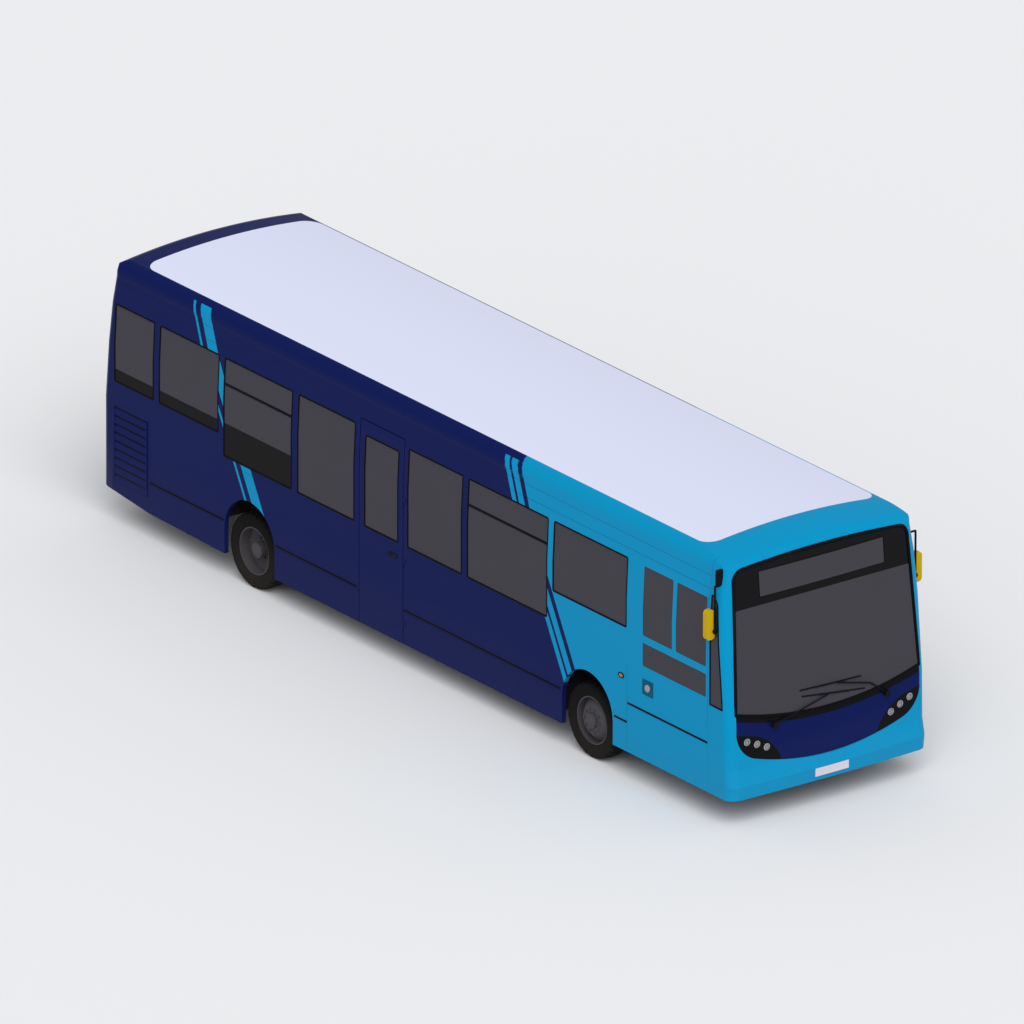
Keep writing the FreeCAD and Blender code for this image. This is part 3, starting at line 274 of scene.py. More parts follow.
livery = {
    "navy": tone(9, 22, 79),
    "cyan": tone(3, 138, 186),
    "white": tone(212, 217, 240),
    "black": tone(11, 11, 13),
    "seam": tone(6, 12, 30),
    "slant": 0.534,          # how far a stripe leans back for each metre up
    "frontFoot": (axles["front"] + 0.656, 1.21),
    "rearFoot": (axles["front"] + 5.792, 1.208),
    "frontEdges": (0.0, -0.074, -0.112, -0.208, -0.281),
    "rearEdges": (0.0, -0.038, -0.122, -0.289),
    "rearLow": 0.76,         # the rear stripes end at the wheel arch
    "stripeTop": 2.735,
    "panelHalfWidth": 1.05,
    "panelFront": -4.575,
    "panelRear": 4.70,
    "panelCorner": 0.17,
    "maskY": -5.02,
    "maskHead": 1.4,
    "cowlFoot": (0.962, 0.118),
    "maskPanelHalf": 1.128,
    "sideX": 1.09,           # the sides begin beyond this
    "seamHalf": 0.0022,
    # joints: the height or the place along the bus, then from where to where
    "levelJoints": ((1.228, -2.2, 4.30), (2.43, -4.8, 5.0), (2.56, -4.8, 5.0), (1.40, 4.30, 5.0),
                    (1.30, 4.347, 5.04)),
    "uprightJoints": ((3.20, 0.0, 1.228), (2.044, 0.0, 1.228), (-2.22, 0.0, 1.228), (-3.494, 0.0, 1.228),
                      (-4.80, 0.0, 2.9), (4.347, 0.0, 1.30), (4.30, 1.228, 1.40), (5.0, 0.0, 2.9)),
    "seamShare": 0.6,
    "shine": 0.05,
    "gloss": 0.34,
    "grain": 260.0,
}


def panelJoints(tree, colour, x, y, z):
    # thin dark joints of the sides, with a groove
    half = livery["seamHalf"]
    lines = [times(tree, between(tree, across, place - half, place + half), between(tree, along, low, high))
             for across, along, joints in ((z, y, livery["levelJoints"]), (y, z, livery["uprightJoints"]))
             for place, low, high in joints]
    side = isOver(tree, sums(tree, "ABSOLUTE", x), livery["sideX"])
    mask = sums(tree, "MULTIPLY", plus(tree, *lines), side, clamp=True)
    colour = blendTones(tree, times(tree, mask, livery["seamShare"]), colour, livery["seam"])
    return colour, minus(tree, 1.0, mask)


def paintOn(tree, shader, colour, dust):
    filmOn(tree, shader, colour, livery["gloss"], dust, livery["grain"])
    feed(tree, shader, {"Specular IOR Level": livery["shine"]})


def plainPaint(name, colour):
    return finish(name, colour, gloss=livery["gloss"], grain=livery["grain"], dust=0.12, shine=livery["shine"])


def bodyPaint(name, panel=False, front=False):
    # two-tone paint with slanted stripes and panel joints, the roof's white field, the front's black cowl
    made, tree, shader = newMaterial(name)
    at, x, y, z = places(tree)

    def striped(foot, edges):
        # how far behind the slanted line a place lies, and the two stripes along it
        lean = times(tree, minus(tree, z, foot[1]), livery["slant"])
        past = minus(tree, minus(tree, y, foot[0]), lean)
        return past, plus(tree, between(tree, past, edges[1], edges[0]), between(tree, past, edges[3], edges[2]))

    fore, stripes = striped(livery["frontFoot"], livery["frontEdges"])
    rearStripes = striped(livery["rearFoot"], livery["rearEdges"])[1]
    rearStripes = times(tree, rearStripes, isOver(tree, z, livery["rearLow"]))
    both = times(tree, plus(tree, stripes, rearStripes), isUnder(tree, z, livery["stripeTop"]))
    isCyan = isUnder(tree, fore, livery["frontEdges"][4])
    colour = blendTones(tree, sums(tree, "ADD", isCyan, both, clamp=True), livery["navy"], livery["cyan"])
    if panel:
        corner = livery["panelCorner"]
        middle = (livery["panelFront"] + livery["panelRear"]) / 2
        run = (livery["panelRear"] - livery["panelFront"]) / 2 - corner

        def beyond(value, half):
            return sums(tree, "MAXIMUM", minus(tree, sums(tree, "ABSOLUTE", value), half), 0.0)

        away = lengthOf(tree, beyond(x, livery["panelHalfWidth"] - corner), beyond(minus(tree, y, middle), run))
        colour = blendTones(tree, isUnder(tree, away, corner), colour, livery["white"])
    if front:
        field = times(tree, isUnder(tree, y, livery["maskY"]), isWithin(tree, x, livery["maskPanelHalf"]),
                      isUnder(tree, z, livery["maskHead"]))
        colour = blendTones(tree, field, colour, livery["navy"])
        arc = sums(tree, "MULTIPLY_ADD", times(tree, x, x), livery["cowlFoot"][1], livery["cowlFoot"][0])
        colour = blendTones(tree, times(tree, field, isOver(tree, z, arc)), colour, livery["black"])
    colour, groove = panelJoints(tree, colour, x, y, z)
    paintOn(tree, shader, colour, 0.10)
    bumpOn(tree, shader, groove, 0.35, 0.003)
    return made


# the black field round the rear window, and the engine cover's louvres with painted shade in their gaps
tailMarks = {
    "rearY": 5.10,
    "fieldZ": (1.43, 2.38),
    "fieldHalf": 1.02,
    "coverZ": (0.60, 1.09),
    "coverX": 0.33,
    "coverHalf": 0.29,
    "pitch": 0.045,
    # the share of each louvre's pitch painted black as shade in its gap
    "gap": 0.38,
}


def tailPaint(name):
    made, tree, shader = newMaterial(name)
    at, x, y, z = places(tree)
    isRear = isOver(tree, y, tailMarks["rearY"])
    field = times(tree, between(tree, z, *tailMarks["fieldZ"]), isWithin(tree, x, tailMarks["fieldHalf"]), isRear)
    colour = blendTones(tree, field, livery["navy"], livery["black"])
    aside = minus(tree, sums(tree, "ABSOLUTE", x), tailMarks["coverX"])
    cover = times(tree, between(tree, z, *tailMarks["coverZ"]), isWithin(tree, aside, tailMarks["coverHalf"]),
                  isRear)
    # painted shade: a black stripe in each louvre's gap, with a bump for the slats
    rise = sums(tree, "FRACT", sums(tree, "DIVIDE", z, tailMarks["pitch"]))
    colour = blendTones(tree, times(tree, cover, isUnder(tree, rise, tailMarks["gap"])), colour, livery["black"])
    paintOn(tree, shader, colour, 0.45)
    bumpOn(tree, shader, times(tree, rise, cover), 0.8, 0.012)
    return made


# the screen's black top band, lower towards the sides, and the sign's field in it
screenMarks = {
    "bandFoot": 2.240,
    "bandFall": -0.010,
    "bandTone": tone(14, 14, 16),
    "signZ": (2.318, 2.573),
    "signHalf": 0.762,
    "signTone": tone(62, 61, 67),
}


def glass(name, colour, through, rough=0.06, screen=False):
    # body-tinted glass
    made, tree, shader = newMaterial(name)
    at, x, y, z = places(tree)
    haze = noise(tree, at, {"Scale": 2.2})
    shade = blendTones(tree, haze, colour, tuple(c * 1.12 for c in colour[:3]) + (1.0,))
    if screen:
        foot = sums(tree, "MULTIPLY_ADD", times(tree, x, x), screenMarks["bandFall"], screenMarks["bandFoot"])
        shade = blendTones(tree, isOver(tree, z, foot), shade, screenMarks["bandTone"])
        inSign = times(tree, between(tree, z, *screenMarks["signZ"]), isWithin(tree, x, screenMarks["signHalf"]))
        shade = blendTones(tree, inSign, shade, screenMarks["signTone"])
    feed(tree, shader, {"Base Color": shade, "Roughness": sums(tree, "MULTIPLY_ADD", haze, 0.03, rough),
                        "Transmission Weight": through, "Specular IOR Level": 0.08, "IOR": 1.45})
    return made


def rearLampGlass(name):
    # red at the foot and the top, amber between, with fine ribs
    made, tree, shader = newMaterial(name)
    at, x, y, z = places(tree)
    colour = blendTones(tree, between(tree, z, 1.045, 1.175), tone(140, 10, 12), tone(206, 104, 12))
    filmOn(tree, shader, colour, 0.12, 0.1, 60.0)
    bumpOn(tree, shader, waves(tree, z, 900.0), 0.12, 0.002)
    feed(tree, shader, {"Coat Weight": 0.5})
    return made


def tyreRubber(name, axleY):
    # fine rings on the sidewall and sipes over the tread
    made, tree, shader = newMaterial(name)
    at, x, y, z = places(tree)
    dy = minus(tree, y, axleY)
    dz = minus(tree, z, axles["z"])
    radius = lengthOf(tree, dy, dz)
    sipes = isOver(tree, waves(tree, sums(tree, "ARCTAN2", dz, dy), 120.0), -0.6)
    tread = isOver(tree, radius, 0.389)
    height = plus(tree, times(tree, sipes, tread), times(tree, waves(tree, radius, 520.0), 0.15))
    filmOn(tree, shader, blendTones(tree, tread, tone(7, 8, 10), tone(13, 13, 14)), 0.72, 0.22, 160.0)
    feed(tree, shader, {"Specular IOR Level": 0.06})
    bumpOn(tree, shader, height, 0.35, 0.003)
    return made


def seatCloth(name):
    # close-woven cloth with a small check
    made, tree, shader = newMaterial(name)
    at, x, y, z = places(tree)
    weave = noise(tree, at, {"Scale": 900.0})
    across, along = [between(tree, waves(tree, value, 150.0), 0.55, 1.1) for value in (x, plus(tree, y, z))]
    colour = blendTones(tree, times(tree, across, along), tone(24, 34, 78), tone(20, 104, 140))
    colour = blendTones(tree, times(tree, weave, 0.25), colour, tone(12, 16, 34))
    filmOn(tree, shader, colour, 0.85, 0.05, 600.0)
    feed(tree, shader, {"Sheen Weight": 0.25})
    bumpOn(tree, shader, weave, 0.35, 0.002)
    return made


looks = {
    "side": bodyPaint("sidePaint"),
    "roof": bodyPaint("roofPaint", panel=True),
    "mask": bodyPaint("maskPaint", front=True),
    "tail": tailPaint("tailPaint"),
    "bumper": plainPaint("bumperPaint", livery["cyan"]),
    "navy": plainPaint("navyPaint", livery["navy"]),
    "glass": glass("tintedGlass", tone(60, 59, 66), through=0.06),
    "screen": glass("screenGlass", tone(60, 59, 65), through=0.06, screen=True),
    "lens": glass("lampGlass", tone(190, 190, 195), through=0.75, rough=0.05),
    "redLens": rearLampGlass("rearLens"),
    "reflector": finish("redReflector", tone(150, 12, 14), gloss=0.2, dust=0.1, shine=0.5),
    "amberLens": finish("amberLens", tone(150, 104, 52), gloss=0.14, dust=0.1, shine=0.6),
    "gloss": finish("glossBlack", tone(10, 10, 12), gloss=0.28, dust=0.05, grain=120, shine=0.06),
    "rubber": finish("sealRubber", tone(9, 9, 11), gloss=0.6, dust=0.1, grain=300, bump=0.2, shine=0.06),
    "trim": finish("blackTrim", tone(14, 14, 16), gloss=0.55, dust=0.15, grain=400, bump=0.25, shine=0.08),
    "yellow": finish("mirrorYellow", tone(188, 156, 4), gloss=0.36, dust=0.05, grain=180, bump=0.05, shine=0.08),
    "rail": finish("railYellow", tone(214, 168, 24), gloss=0.32, dust=0.05, grain=60, bump=0.05),
    "rim": finish("rimSteel", tone(70, 68, 74), gloss=0.5, metal=0.1, dust=0.3, grain=70, bump=0.1, shine=0.12),
    "steel": finish("chassisSteel", tone(30, 30, 33), gloss=0.6, metal=0.2, dust=0.5, grain=50, bump=0.3),
    "iron": finish("engineIron", tone(60, 60, 62), gloss=0.65, metal=0.5, dust=0.6, grain=30, bump=0.5),
    "floor": finish("floorVinyl", tone(66, 74, 88), gloss=0.6, dust=0.2, grain=500, bump=0.3),
    "arch": finish("archLining", tone(24, 25, 28), gloss=0.75, dust=0.4, grain=90, bump=0.4, shine=0.15),
    "lining": finish("cabLining", tone(52, 54, 60), gloss=0.55, dust=0.1, grain=300, bump=0.3),
    "plate": finish("barePlate", tone(205, 201, 212), gloss=0.4, dust=0.1, grain=60, bump=0.05),
    "rearPlate": finish("bareRearPlate", tone(206, 172, 44), gloss=0.4, dust=0.1, grain=60, bump=0.05),
    "bright": finish("brightMetal", tone(168, 166, 168), gloss=0.25, metal=0.7, dust=0.1, grain=60, bump=0.03),
    # dark navy as painted shade of the engine bay seen between the louvres
    "louvreGapShade": finish("louvreGapShade", tone(8, 13, 38), gloss=0.6, dust=0.2, grain=120, shine=0.05),
    # the filler well is the body's cyan darkened with painted shade of its recess
    "well": finish("fillerWellShade", tone(6, 84, 112), gloss=0.5, dust=0.1, grain=120, shine=0.05),
    "cap": finish("fillerCap", tone(150, 148, 152), gloss=0.4, metal=0.1, dust=0.1, grain=90, bump=0.1),
    "mirrorGlass": finish("mirrorGlass", tone(196, 202, 208), gloss=0.03, metal=1.0, dust=0.0, bump=0.0, shine=0.5),
    "frontTyre": tyreRubber("frontTyreRubber", axles["front"]),
    "rearTyre": tyreRubber("rearTyreRubber", axles["rear"]),
    "cloth": seatCloth("seatCloth"),
}

nodeLooks = {
    "side": ("side_wall_right", "side_wall_left", "side_skirts", "emergency_door"),
    "roof": ("roof",),
    "mask": ("front_mask",),
    "bumper": ("front_bumper", "door_leaf_front", "door_leaf_rear"),
    "tail": ("rear_panel", "engine_cover"),
    "screen": ("windscreen",),
    "glass": ("corner_windows", "side_windows_right", "side_windows_left", "rear_window",
              "door_glass_front", "door_glass_rear", "emergency_door_glass"),
    "lens": ("headlamp_lenses",),
    "redLens": ("rear_lamps",),
    "gloss": ("lamp_clusters",),
    "trim": ("destination_display", "dashboard", "steering_wheel", "wipers", "mirror_arms", "air_springs"),
    "yellow": ("mirror_heads",),
    "rim": ("rim_front_right", "rim_front_left", "rims_rear_right", "rims_rear_left"),
    "steel": ("chassis_frame", "front_axle", "rear_axle", "knuckle_right", "knuckle_left", "door_post_front",
              "door_post_rear", "seat_pedestals"),
    "iron": ("engine_block",),
    "arch": ("wheel_boxes",),
    "floor": ("floor_deck",),
    "lining": ("cab_partition", "door_header"),
}
for look, names in nodeLooks.items():
    for name in names:
        piece = nodes[name]
        piece.data.materials.clear()
        piece.data.materials.append(looks[look])
print("finishes set")

studio = {
    "floorSize": 90.0,
    "floorTone": (0.80, 0.81, 0.83, 1.0),
    "worldTone": (1.0, 1.0, 1.0, 1.0),
    "worldStrength": 0.55,
    "sunAngle": 50,
    "suns": (("key", (38, -22, 0), 1.84), ("fill", (60, 0, -50), 0.42)),
}


def makeStudio():
    deselectAll()
    bpy.ops.mesh.primitive_plane_add(size=studio["floorSize"], location=(0, 0, 0))
    floor = bpy.context.object
    floor.name = "studio_floor"
    made, tree, shader = newMaterial("studioFloor")
    feed(tree, shader, {"Base Color": studio["floorTone"], "Roughness": 0.9, "Specular IOR Level": 0.1})
    floor.data.materials.append(made)
    world = bpy.data.worlds.new("studio")
    bpy.context.scene.world = world
    world.use_nodes = True
    tree = world.node_tree
    feed(tree, tree.nodes["Background"], {0: studio["worldTone"], 1: studio["worldStrength"]})
    for name, turn, strength in studio["suns"]:
        data = bpy.data.lights.new(name, "SUN")
        data.energy = strength
        data.angle = math.radians(studio["sunAngle"])
        lamp = bpy.data.objects.new(name, data)
        lamp.rotation_euler = [math.radians(a) for a in turn]
        bpy.context.scene.collection.objects.link(lamp)
    bpy.context.scene.view_settings.view_transform = "Standard"


makeStudio()
print("studio set")


def settle(piece, name, look, body="bus"):
    # puts the piece's place into its mesh, gives it its finish and its body
    activate(piece)
    applyPlace()
    piece.name = name
    piece.data.name = name
    piece.data.materials.clear()
    piece.data.materials.append(looks[look])
    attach(piece, body)
    return piece


def smooth(piece, angle=35):
    activate(piece)
    bpy.ops.object.shade_smooth_by_angle(angle=math.radians(angle))
    return piece


def block(low, high, bevel=0.004, segments=2):
    # a block from corner to corner with rounded edges
    deselectAll()
    middle = [(a + b) / 2 for a, b in zip(low, high)]
    bpy.ops.mesh.primitive_cube_add(size=1, location=middle)
    piece = bpy.context.object
    piece.scale = [abs(b - a) for a, b in zip(low, high)]
    applyPlace()
    edge = piece.modifiers.new("edge", "BEVEL")
    edge.width = bevel
    edge.segments = segments
    bpy.ops.object.modifier_apply(modifier="edge")
    return smooth(piece)


def joined(pieces):
    deselectAll()
    for piece in pieces:
        piece.select_set(True)
    bpy.context.view_layer.objects.active = pieces[0]
    if len(pieces) > 1:
        bpy.ops.object.join()
    return bpy.context.object


def copied(piece, move=(0, 0, 0)):
    made = piece.copy()
    made.data = piece.data.copy()
    bpy.context.scene.collection.objects.link(made)
    made.location = Vector(piece.location) + Vector(move)
    return made


def flipped(piece):
    # a copy on the other side of the bus
    made = copied(piece)
    activate(made)
    applyPlace()
    made.scale = (-1, 1, 1)
    applyPlace()
    setMode("EDIT")
    bpy.ops.mesh.select_all(action="SELECT")
    bpy.ops.mesh.normals_make_consistent(inside=False)
    setMode("OBJECT")
    return made


def settlePair(piece, name, look, sides=("right", "left")):
    # the piece on its own side, and its mirror copy on the other
    own, other = sides
    first = settle(piece, name + "_" + own, look)
    settle(flipped(first), name + "_" + other, look)


def pick(piece, test, kind="FACE"):
    # goes into edit mode with the faces or points selected that the test names
    activate(piece)
    setMode("EDIT")
    bpy.ops.mesh.select_mode(type=kind)
    bpy.ops.mesh.select_all(action="DESELECT")
    setMode("OBJECT")
    for part in (piece.data.polygons if kind == "FACE" else piece.data.vertices):
        part.select = test(part)
    setMode("EDIT")


def dented(piece, towards, rim, depth):
    # insets the side that faces this way and moves its middle in, or out where the depth is below 0
    way = Vector(towards)
    pick(piece, lambda face: face.normal.dot(way) > 0.9)
    bpy.ops.mesh.inset(thickness=rim)
    bpy.ops.transform.translate(value=way * -depth)
    setMode("OBJECT")
    return piece


def spun(points, centre, axis, steps=48):
    # points, given as (along the axis, out from it), turned round the axis through the centre
    deselectAll()
    bpy.ops.mesh.primitive_plane_add(size=0.01, location=centre)
    piece = bpy.context.object
    applyPlace()
    setMode("EDIT")
    bpy.ops.mesh.select_mode(type="VERT")
    bpy.ops.mesh.select_all(action="SELECT")
    bpy.ops.mesh.merge(type="CENTER")
    line = Vector(axis)

    def step(along, out):
        return tuple(line * along + Vector((0, 0, out)))

    bpy.ops.transform.translate(value=step(*points[0]))
    for before, after in zip(points, points[1:]):
        bpy.ops.mesh.extrude_vertices_move(
            TRANSFORM_OT_translate={"value": step(after[0] - before[0], after[1] - before[1])})
    bpy.ops.mesh.select_all(action="SELECT")
    bpy.ops.mesh.spin(steps=steps, angle=2 * math.pi, center=centre, axis=axis)
    bpy.ops.mesh.select_all(action="SELECT")
    bpy.ops.mesh.remove_doubles(threshold=0.0002)
    bpy.ops.mesh.normals_make_consistent(inside=False)
    setMode("OBJECT")
    return smooth(piece)


def tube(points, radius, closed=False, sides=2):
    # a round tube along points
    data = bpy.data.curves.new("tube", "CURVE")
    data.dimensions = "3D"
    data.bevel_depth = radius
    data.bevel_resolution = sides
    data.use_fill_caps = True
    line = data.splines.new("POLY")
    line.points.add(len(points) - 1)
    for point, place in zip(line.points, points):
        point.co = tuple(place) + (1.0,)
    line.use_cyclic_u = closed
    piece = bpy.data.objects.new("tube", data)
    bpy.context.scene.collection.objects.link(piece)
    activate(piece)
    bpy.ops.object.convert(target="MESH")
    return smooth(bpy.context.object, 50)


# rubber seals round the glass, traced from the panes themselves
seals = {
    "sideRadius": 0.010,
    "screenRadius": 0.019,
    "cornerRadius": 0.010,
}


def outlineOf(node, outward, keep=None):
    # the border loops of a pane's outer face, as lists of points, each begun at its lowest place in order
    def order(vert):
        return [round(c, 4) for c in vert.co]

    mesh = bmesh.new()
    mesh.from_mesh(nodes[node].data)
    bmesh.ops.remove_doubles(mesh, verts=mesh.verts, dist=0.0002)
    gone = [face for face in mesh.faces if face.normal.dot(Vector(outward)) < 0.45]
    bmesh.ops.delete(mesh, geom=gone, context="FACES")
    left = [edge for edge in mesh.edges if len(edge.link_faces) == 1]
    left.sort(key=lambda edge: sorted(order(vert) for vert in edge.verts))
    loops = []
    while left:
        start, vert = sorted(left.pop(0).verts, key=order)
        loop = [start.co.copy(), vert.co.copy()]
        while True:
            onward = [e for e in vert.link_edges if e in left]
            if not onward:
                break
            left.remove(onward[0])
            vert = onward[0].other_vert(vert)
            loop.append(vert.co.copy())
        if len(loop) > 8 and (keep is None or keep(loop)):
            if (loop[0] - loop[-1]).length < 0.001:
                loop.pop()
            loops.append(loop)
    mesh.free()
    return loops


def sealRing(node, outward, name, radius, body="bus", keep=None):
    pieces = [tube(loop, radius, closed=True, sides=1) for loop in outlineOf(node, outward, keep)]
    if pieces:
        settle(joined(pieces), name, "rubber", body)


def saloonPane(loop):
    return min(p.y for p in loop) > -3.7


def isScreenEdge(loop):
    return min(p.z for p in loop) < 2.0


sealRing("side_windows_right", (-1, 0, 0), "seals_right", seals["sideRadius"], keep=saloonPane)
sealRing("side_windows_left", (1, 0, 0), "seals_left", seals["sideRadius"])
sealRing("windscreen", (0, -1, 0), "seal_screen", seals["screenRadius"], keep=isScreenEdge)
sealRing("rear_window", (0, 1, 0), "seal_rear", seals["sideRadius"])
sealRing("emergency_door_glass", (-1, 0, 0), "seal_exit", seals["sideRadius"], body="exit_door")
sealRing("corner_windows", (-1, 0, 0), "seal_corner_right", seals["cornerRadius"])
sealRing("corner_windows", (1, 0, 0), "seal_corner_left", seals["cornerRadius"])
print("seals made")

# black bands low on the tail's panes, and bars of the opening vents
bands = {
    "faceX": 1.2185,
    "backX": 1.2150,
    "places": ((4.310, 4.954, 1.505, 1.645), (3.233, 4.212, 1.505, 1.645), (2.017, 3.136, 1.283, 1.644)),
    "bars": ((2.017, 3.136), (-2.185, -0.884)),
    "barX": (-1.214, -1.203),
    "barZ": (2.060 - 0.0135, 2.060 + 0.0135),
}


def makeBands():
    pieces = [block((-bands["backX"], low, foot), (-bands["faceX"], high, head), bevel=0.001, segments=1)
              for low, high, foot, head in bands["places"]]
    settlePair(joined(pieces), "glass_bands", "gloss")
    (outer, inner), (foot, head) = bands["barX"], bands["barZ"]
    bars = [block((outer, low, foot), (inner, high, head), bevel=0.003) for low, high in bands["bars"]]
    settlePair(joined(bars), "vent_bars", "rubber")


makeBands()

# rub rails along both sides
rails = {
    "inner": 1.2195 - 0.004,
    "outer": 1.2195 + 0.007,
    "half": 0.010,
    "low": 0.604,
    "high": 0.810,
    "rightRuns": ((-3.494, -3.29, "low"), (-2.41, 0.158, "low"), (0.940, 2.28, "low"), (3.14, 4.37, "low"),
                  (-4.80, -3.504, "high")),
    "leftRuns": ((-2.41, 2.28, "low"), (3.14, 4.90, "low")),
}


def makeRails():
    half = rails["half"]
    for name, sign, runs in (("right", -1, rails["rightRuns"]), ("left", 1, rails["leftRuns"])):
        near, far = sorted((sign * rails["inner"], sign * rails["outer"]))
        pieces = [block((near, low, rails[level] - half), (far, high, rails[level] + half), bevel=0.004, segments=3)
                  for low, high, level in runs]
        settle(joined(pieces), "rub_rails_" + name, "rubber")


makeRails()
print("bands and rails made")


def faceY(node, x, z, reach):
    # how far forward a node's surface lies near a place of the front
    return min(v.co.y for v in nodes[node].data.vertices
               if math.hypot(v.co.x - x, v.co.z - z) < reach)


# head lamps: a dished reflector behind each lens and a bright ring round it
headLamps = {
    "places": ((0.999, 0.875), (0.880, 0.827), (0.763, 0.773)),
    "radius": 0.035,
    "dishDepth": 0.022,
    "bulbRadius": 0.009,
}


def makeHeadLamps():
    rings, dishes = [], []
    r, depth, bulb = headLamps["radius"], headLamps["dishDepth"], headLamps["bulbRadius"]
    back = depth + 0.016
    ring = [(-0.002, r - 0.006), (-0.004, r - 0.001), (-0.001, r + 0.004), (0.004, r + 0.004), (0.006, r - 0.002),
            (-0.002, r - 0.006)]
    dish = [(0.016, r - 0.004), (0.020 + depth * 0.2, r * 0.72), (back - 0.006, r * 0.42), (back, bulb),
            (back - 0.014, bulb), (back - 0.018, 0.0)]
    for x, z in headLamps["places"]:
        centre = (x, faceY("headlamp_lenses", x, z, 0.06), z)
        rings.append(spun(ring, centre, (0, 1, 0), steps=28))
        dishes.append(spun(dish, centre, (0, 1, 0), steps=28))
    settlePair(joined(rings), "lamp_rings", "bright", ("left", "right"))
    settlePair(joined(dishes), "lamp_dishes", "bright", ("left", "right"))


makeHeadLamps()

# rear lamps' bezels, reflectors, bare plates and the tail's trim
rearTrim = {
    "lampX": 1.0,
    "lampHeights": (0.98, 1.11, 1.24),
    "lampRadius": 0.050,
    "plate": (0.26, 1.325, 1.435),     # half width, foot, head; the same for the box
    "plateY": (5.200, 5.2192),
    "box": (0.30, 2.43, 2.58),
    "handles": (0.55, 1.150, 1.180),   # place across, foot, head; the same for the reflectors
    "reflectors": (0.95, 0.605, 0.645),
}


def skinY(names, x, z, side):
    # where the front (side -1) or the back (side 1) of the shell lies at x and z
    bpy.context.view_layer.update()
    best = None
    for name in names:
        hit, place, normal, index = nodes[name].ray_cast(Vector((x, 9 * side, z)), Vector((0, -side, 0)))
        if hit and (best is None or place.y * side > best * side):
            best = place.y
    return best


def tailY(x, z):
    return skinY(("rear_panel", "engine_cover"), x, z, 1)


def makeTail():
    r = rearTrim["lampRadius"]
    profile = [(0.000, r - 0.004), (0.003, r), (0.001, r + 0.007), (-0.014, r + 0.007), (-0.014, r - 0.004),
               (0.000, r - 0.004)]
    x = rearTrim["lampX"]
    rings = [spun(profile, (x, tailY(x - r - 0.01, z), z), (0, 1, 0), steps=32) for z in rearTrim["lampHeights"]]
    settlePair(joined(rings), "rear_lamp_rings", "gloss", ("left", "right"))

    x, foot, head = rearTrim["handles"]
    y = tailY(x, foot)
    handles = [block((place - 0.06, y - 0.010, foot), (place + 0.06, y + 0.006, head), bevel=0.005)
               for place in (-x, x)]
    settle(joined(handles), "cover_handles", "gloss", body="rear_cover")

    half, foot, head = rearTrim["plate"]
    near, far = rearTrim["plateY"]
    plate = dented(block((-half, near, foot), (half, far, head), bevel=0.003), (0, 1, 0), 0.006, 0.0015)
    settle(plate, "rear_plate", "rearPlate")

    half, foot, head = rearTrim["box"]
    y = tailY(0, foot)
    sign = dented(block((-half, y - 0.035, foot), (half, y + 0.008, head), bevel=0.006), (0, 1, 0), 0.014, 0.004)
    settle(sign, "rear_sign_box", "gloss")

    x, foot, head = rearTrim["reflectors"]
    reflectors = []
    for place in (-x, x):
        y = tailY(place, (foot + head) / 2)
        reflectors.append(block((place - 0.045, y - 0.006, foot), (place + 0.045, y + 0.005, head), bevel=0.003))
    settle(joined(reflectors), "rear_reflectors", "reflector")


makeTail()
print("tail made")

# front: the sign's bezel, bare plate, side repeaters, mirror glass and ball joints
frontTrim = {
    "sign": (0.768, 2.312, 2.579),     # half width, foot, head; the same for the plate
    "plate": (0.205, 0.336, 0.336 + 0.088),
    "plateY": -5.2176,
    "repeater": (-1.2185, -3.400, 1.070),
    "repeaterDraw": 1.55,
    "jointX": -1.236,
}


def noseY(x, z):
    return skinY(("windscreen", "front_mask"), x, z, -1)


def makeFront():
    half, foot, head = frontTrim["sign"]
    steps = [half * (step / 8 - 1) for step in range(17)]
    line = [(x, noseY(x, foot), foot) for x in steps] + [(x, noseY(x, head), head) for x in reversed(steps)]
    settle(tube(line, 0.005, closed=True, sides=1), "sign_bezel", "gloss")

    half, foot, head = frontTrim["plate"]
    y = frontTrim["plateY"]
    plate = dented(block((-half, y - 0.002, foot), (half, y + 0.020, head), bevel=0.003), (0, -1, 0), 0.004, 0.0004)
    settle(plate, "front_plate", "plate")

    centre = frontTrim["repeater"]
    base = spun([(0.004, 0.030), (-0.006, 0.031), (-0.010, 0.026), (-0.006, 0.021), (0.004, 0.021)],
                centre, (1, 0, 0), steps=28)
    lamp = spun([(0.004, 0.021), (-0.007, 0.020), (-0.013, 0.012), (-0.015, 0.0)], centre, (1, 0, 0), steps=28)
    for piece in (base, lamp):       # round ones drawn out to ovals
        activate(piece)
        setMode("EDIT")
        bpy.ops.mesh.select_all(action="SELECT")
        bpy.ops.transform.resize(value=(1, frontTrim["repeaterDraw"], 1), center_override=centre)
        setMode("OBJECT")
    settlePair(base, "repeater_base", "gloss")
    settlePair(lamp, "repeater", "amberLens")

    low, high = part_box("mirror_heads")
    pane = block((-high[0] + 0.014, high[1] - 0.002, low[2] + 0.014),
                 (-high[0] + 0.086, high[1] + 0.002, high[2] - 0.014), bevel=0.0015)
    settlePair(pane, "mirror_pane", "mirrorGlass")
    joint = spun([(-0.024, 0.0), (-0.024, 0.014), (-0.012, 0.022), (0.006, 0.022), (0.016, 0.012)],
                 (frontTrim["jointX"], low[1] - 0.010, low[2] + 0.085), (0, 1, 0), steps=20)
    settlePair(joint, "mirror_joint", "trim")


makeFront()

# wipers: cranked arms from the pivots, with a blade each on the glass
wipers = {
    "upperArm": ((0.691, 0.997), (0.60, 1.075), (0.50, 1.150), (0.09, 1.250)),
    "lowerArm": ((-0.691, 0.997), (-0.40, 1.070), (-0.03, 1.160)),
    "upperBlade": ((0.394, 1.243), (0.20, 1.249), (0.0, 1.255), (-0.18, 1.261), (-0.356, 1.266)),
    "lowerBlade": ((-0.336, 1.200), (-0.14, 1.177), (0.05, 1.154), (0.24, 1.131), (0.432, 1.108)),
    "armRadius": 0.008,
    "bladeRadius": 0.007,
    "holderRadius": 0.006,
}


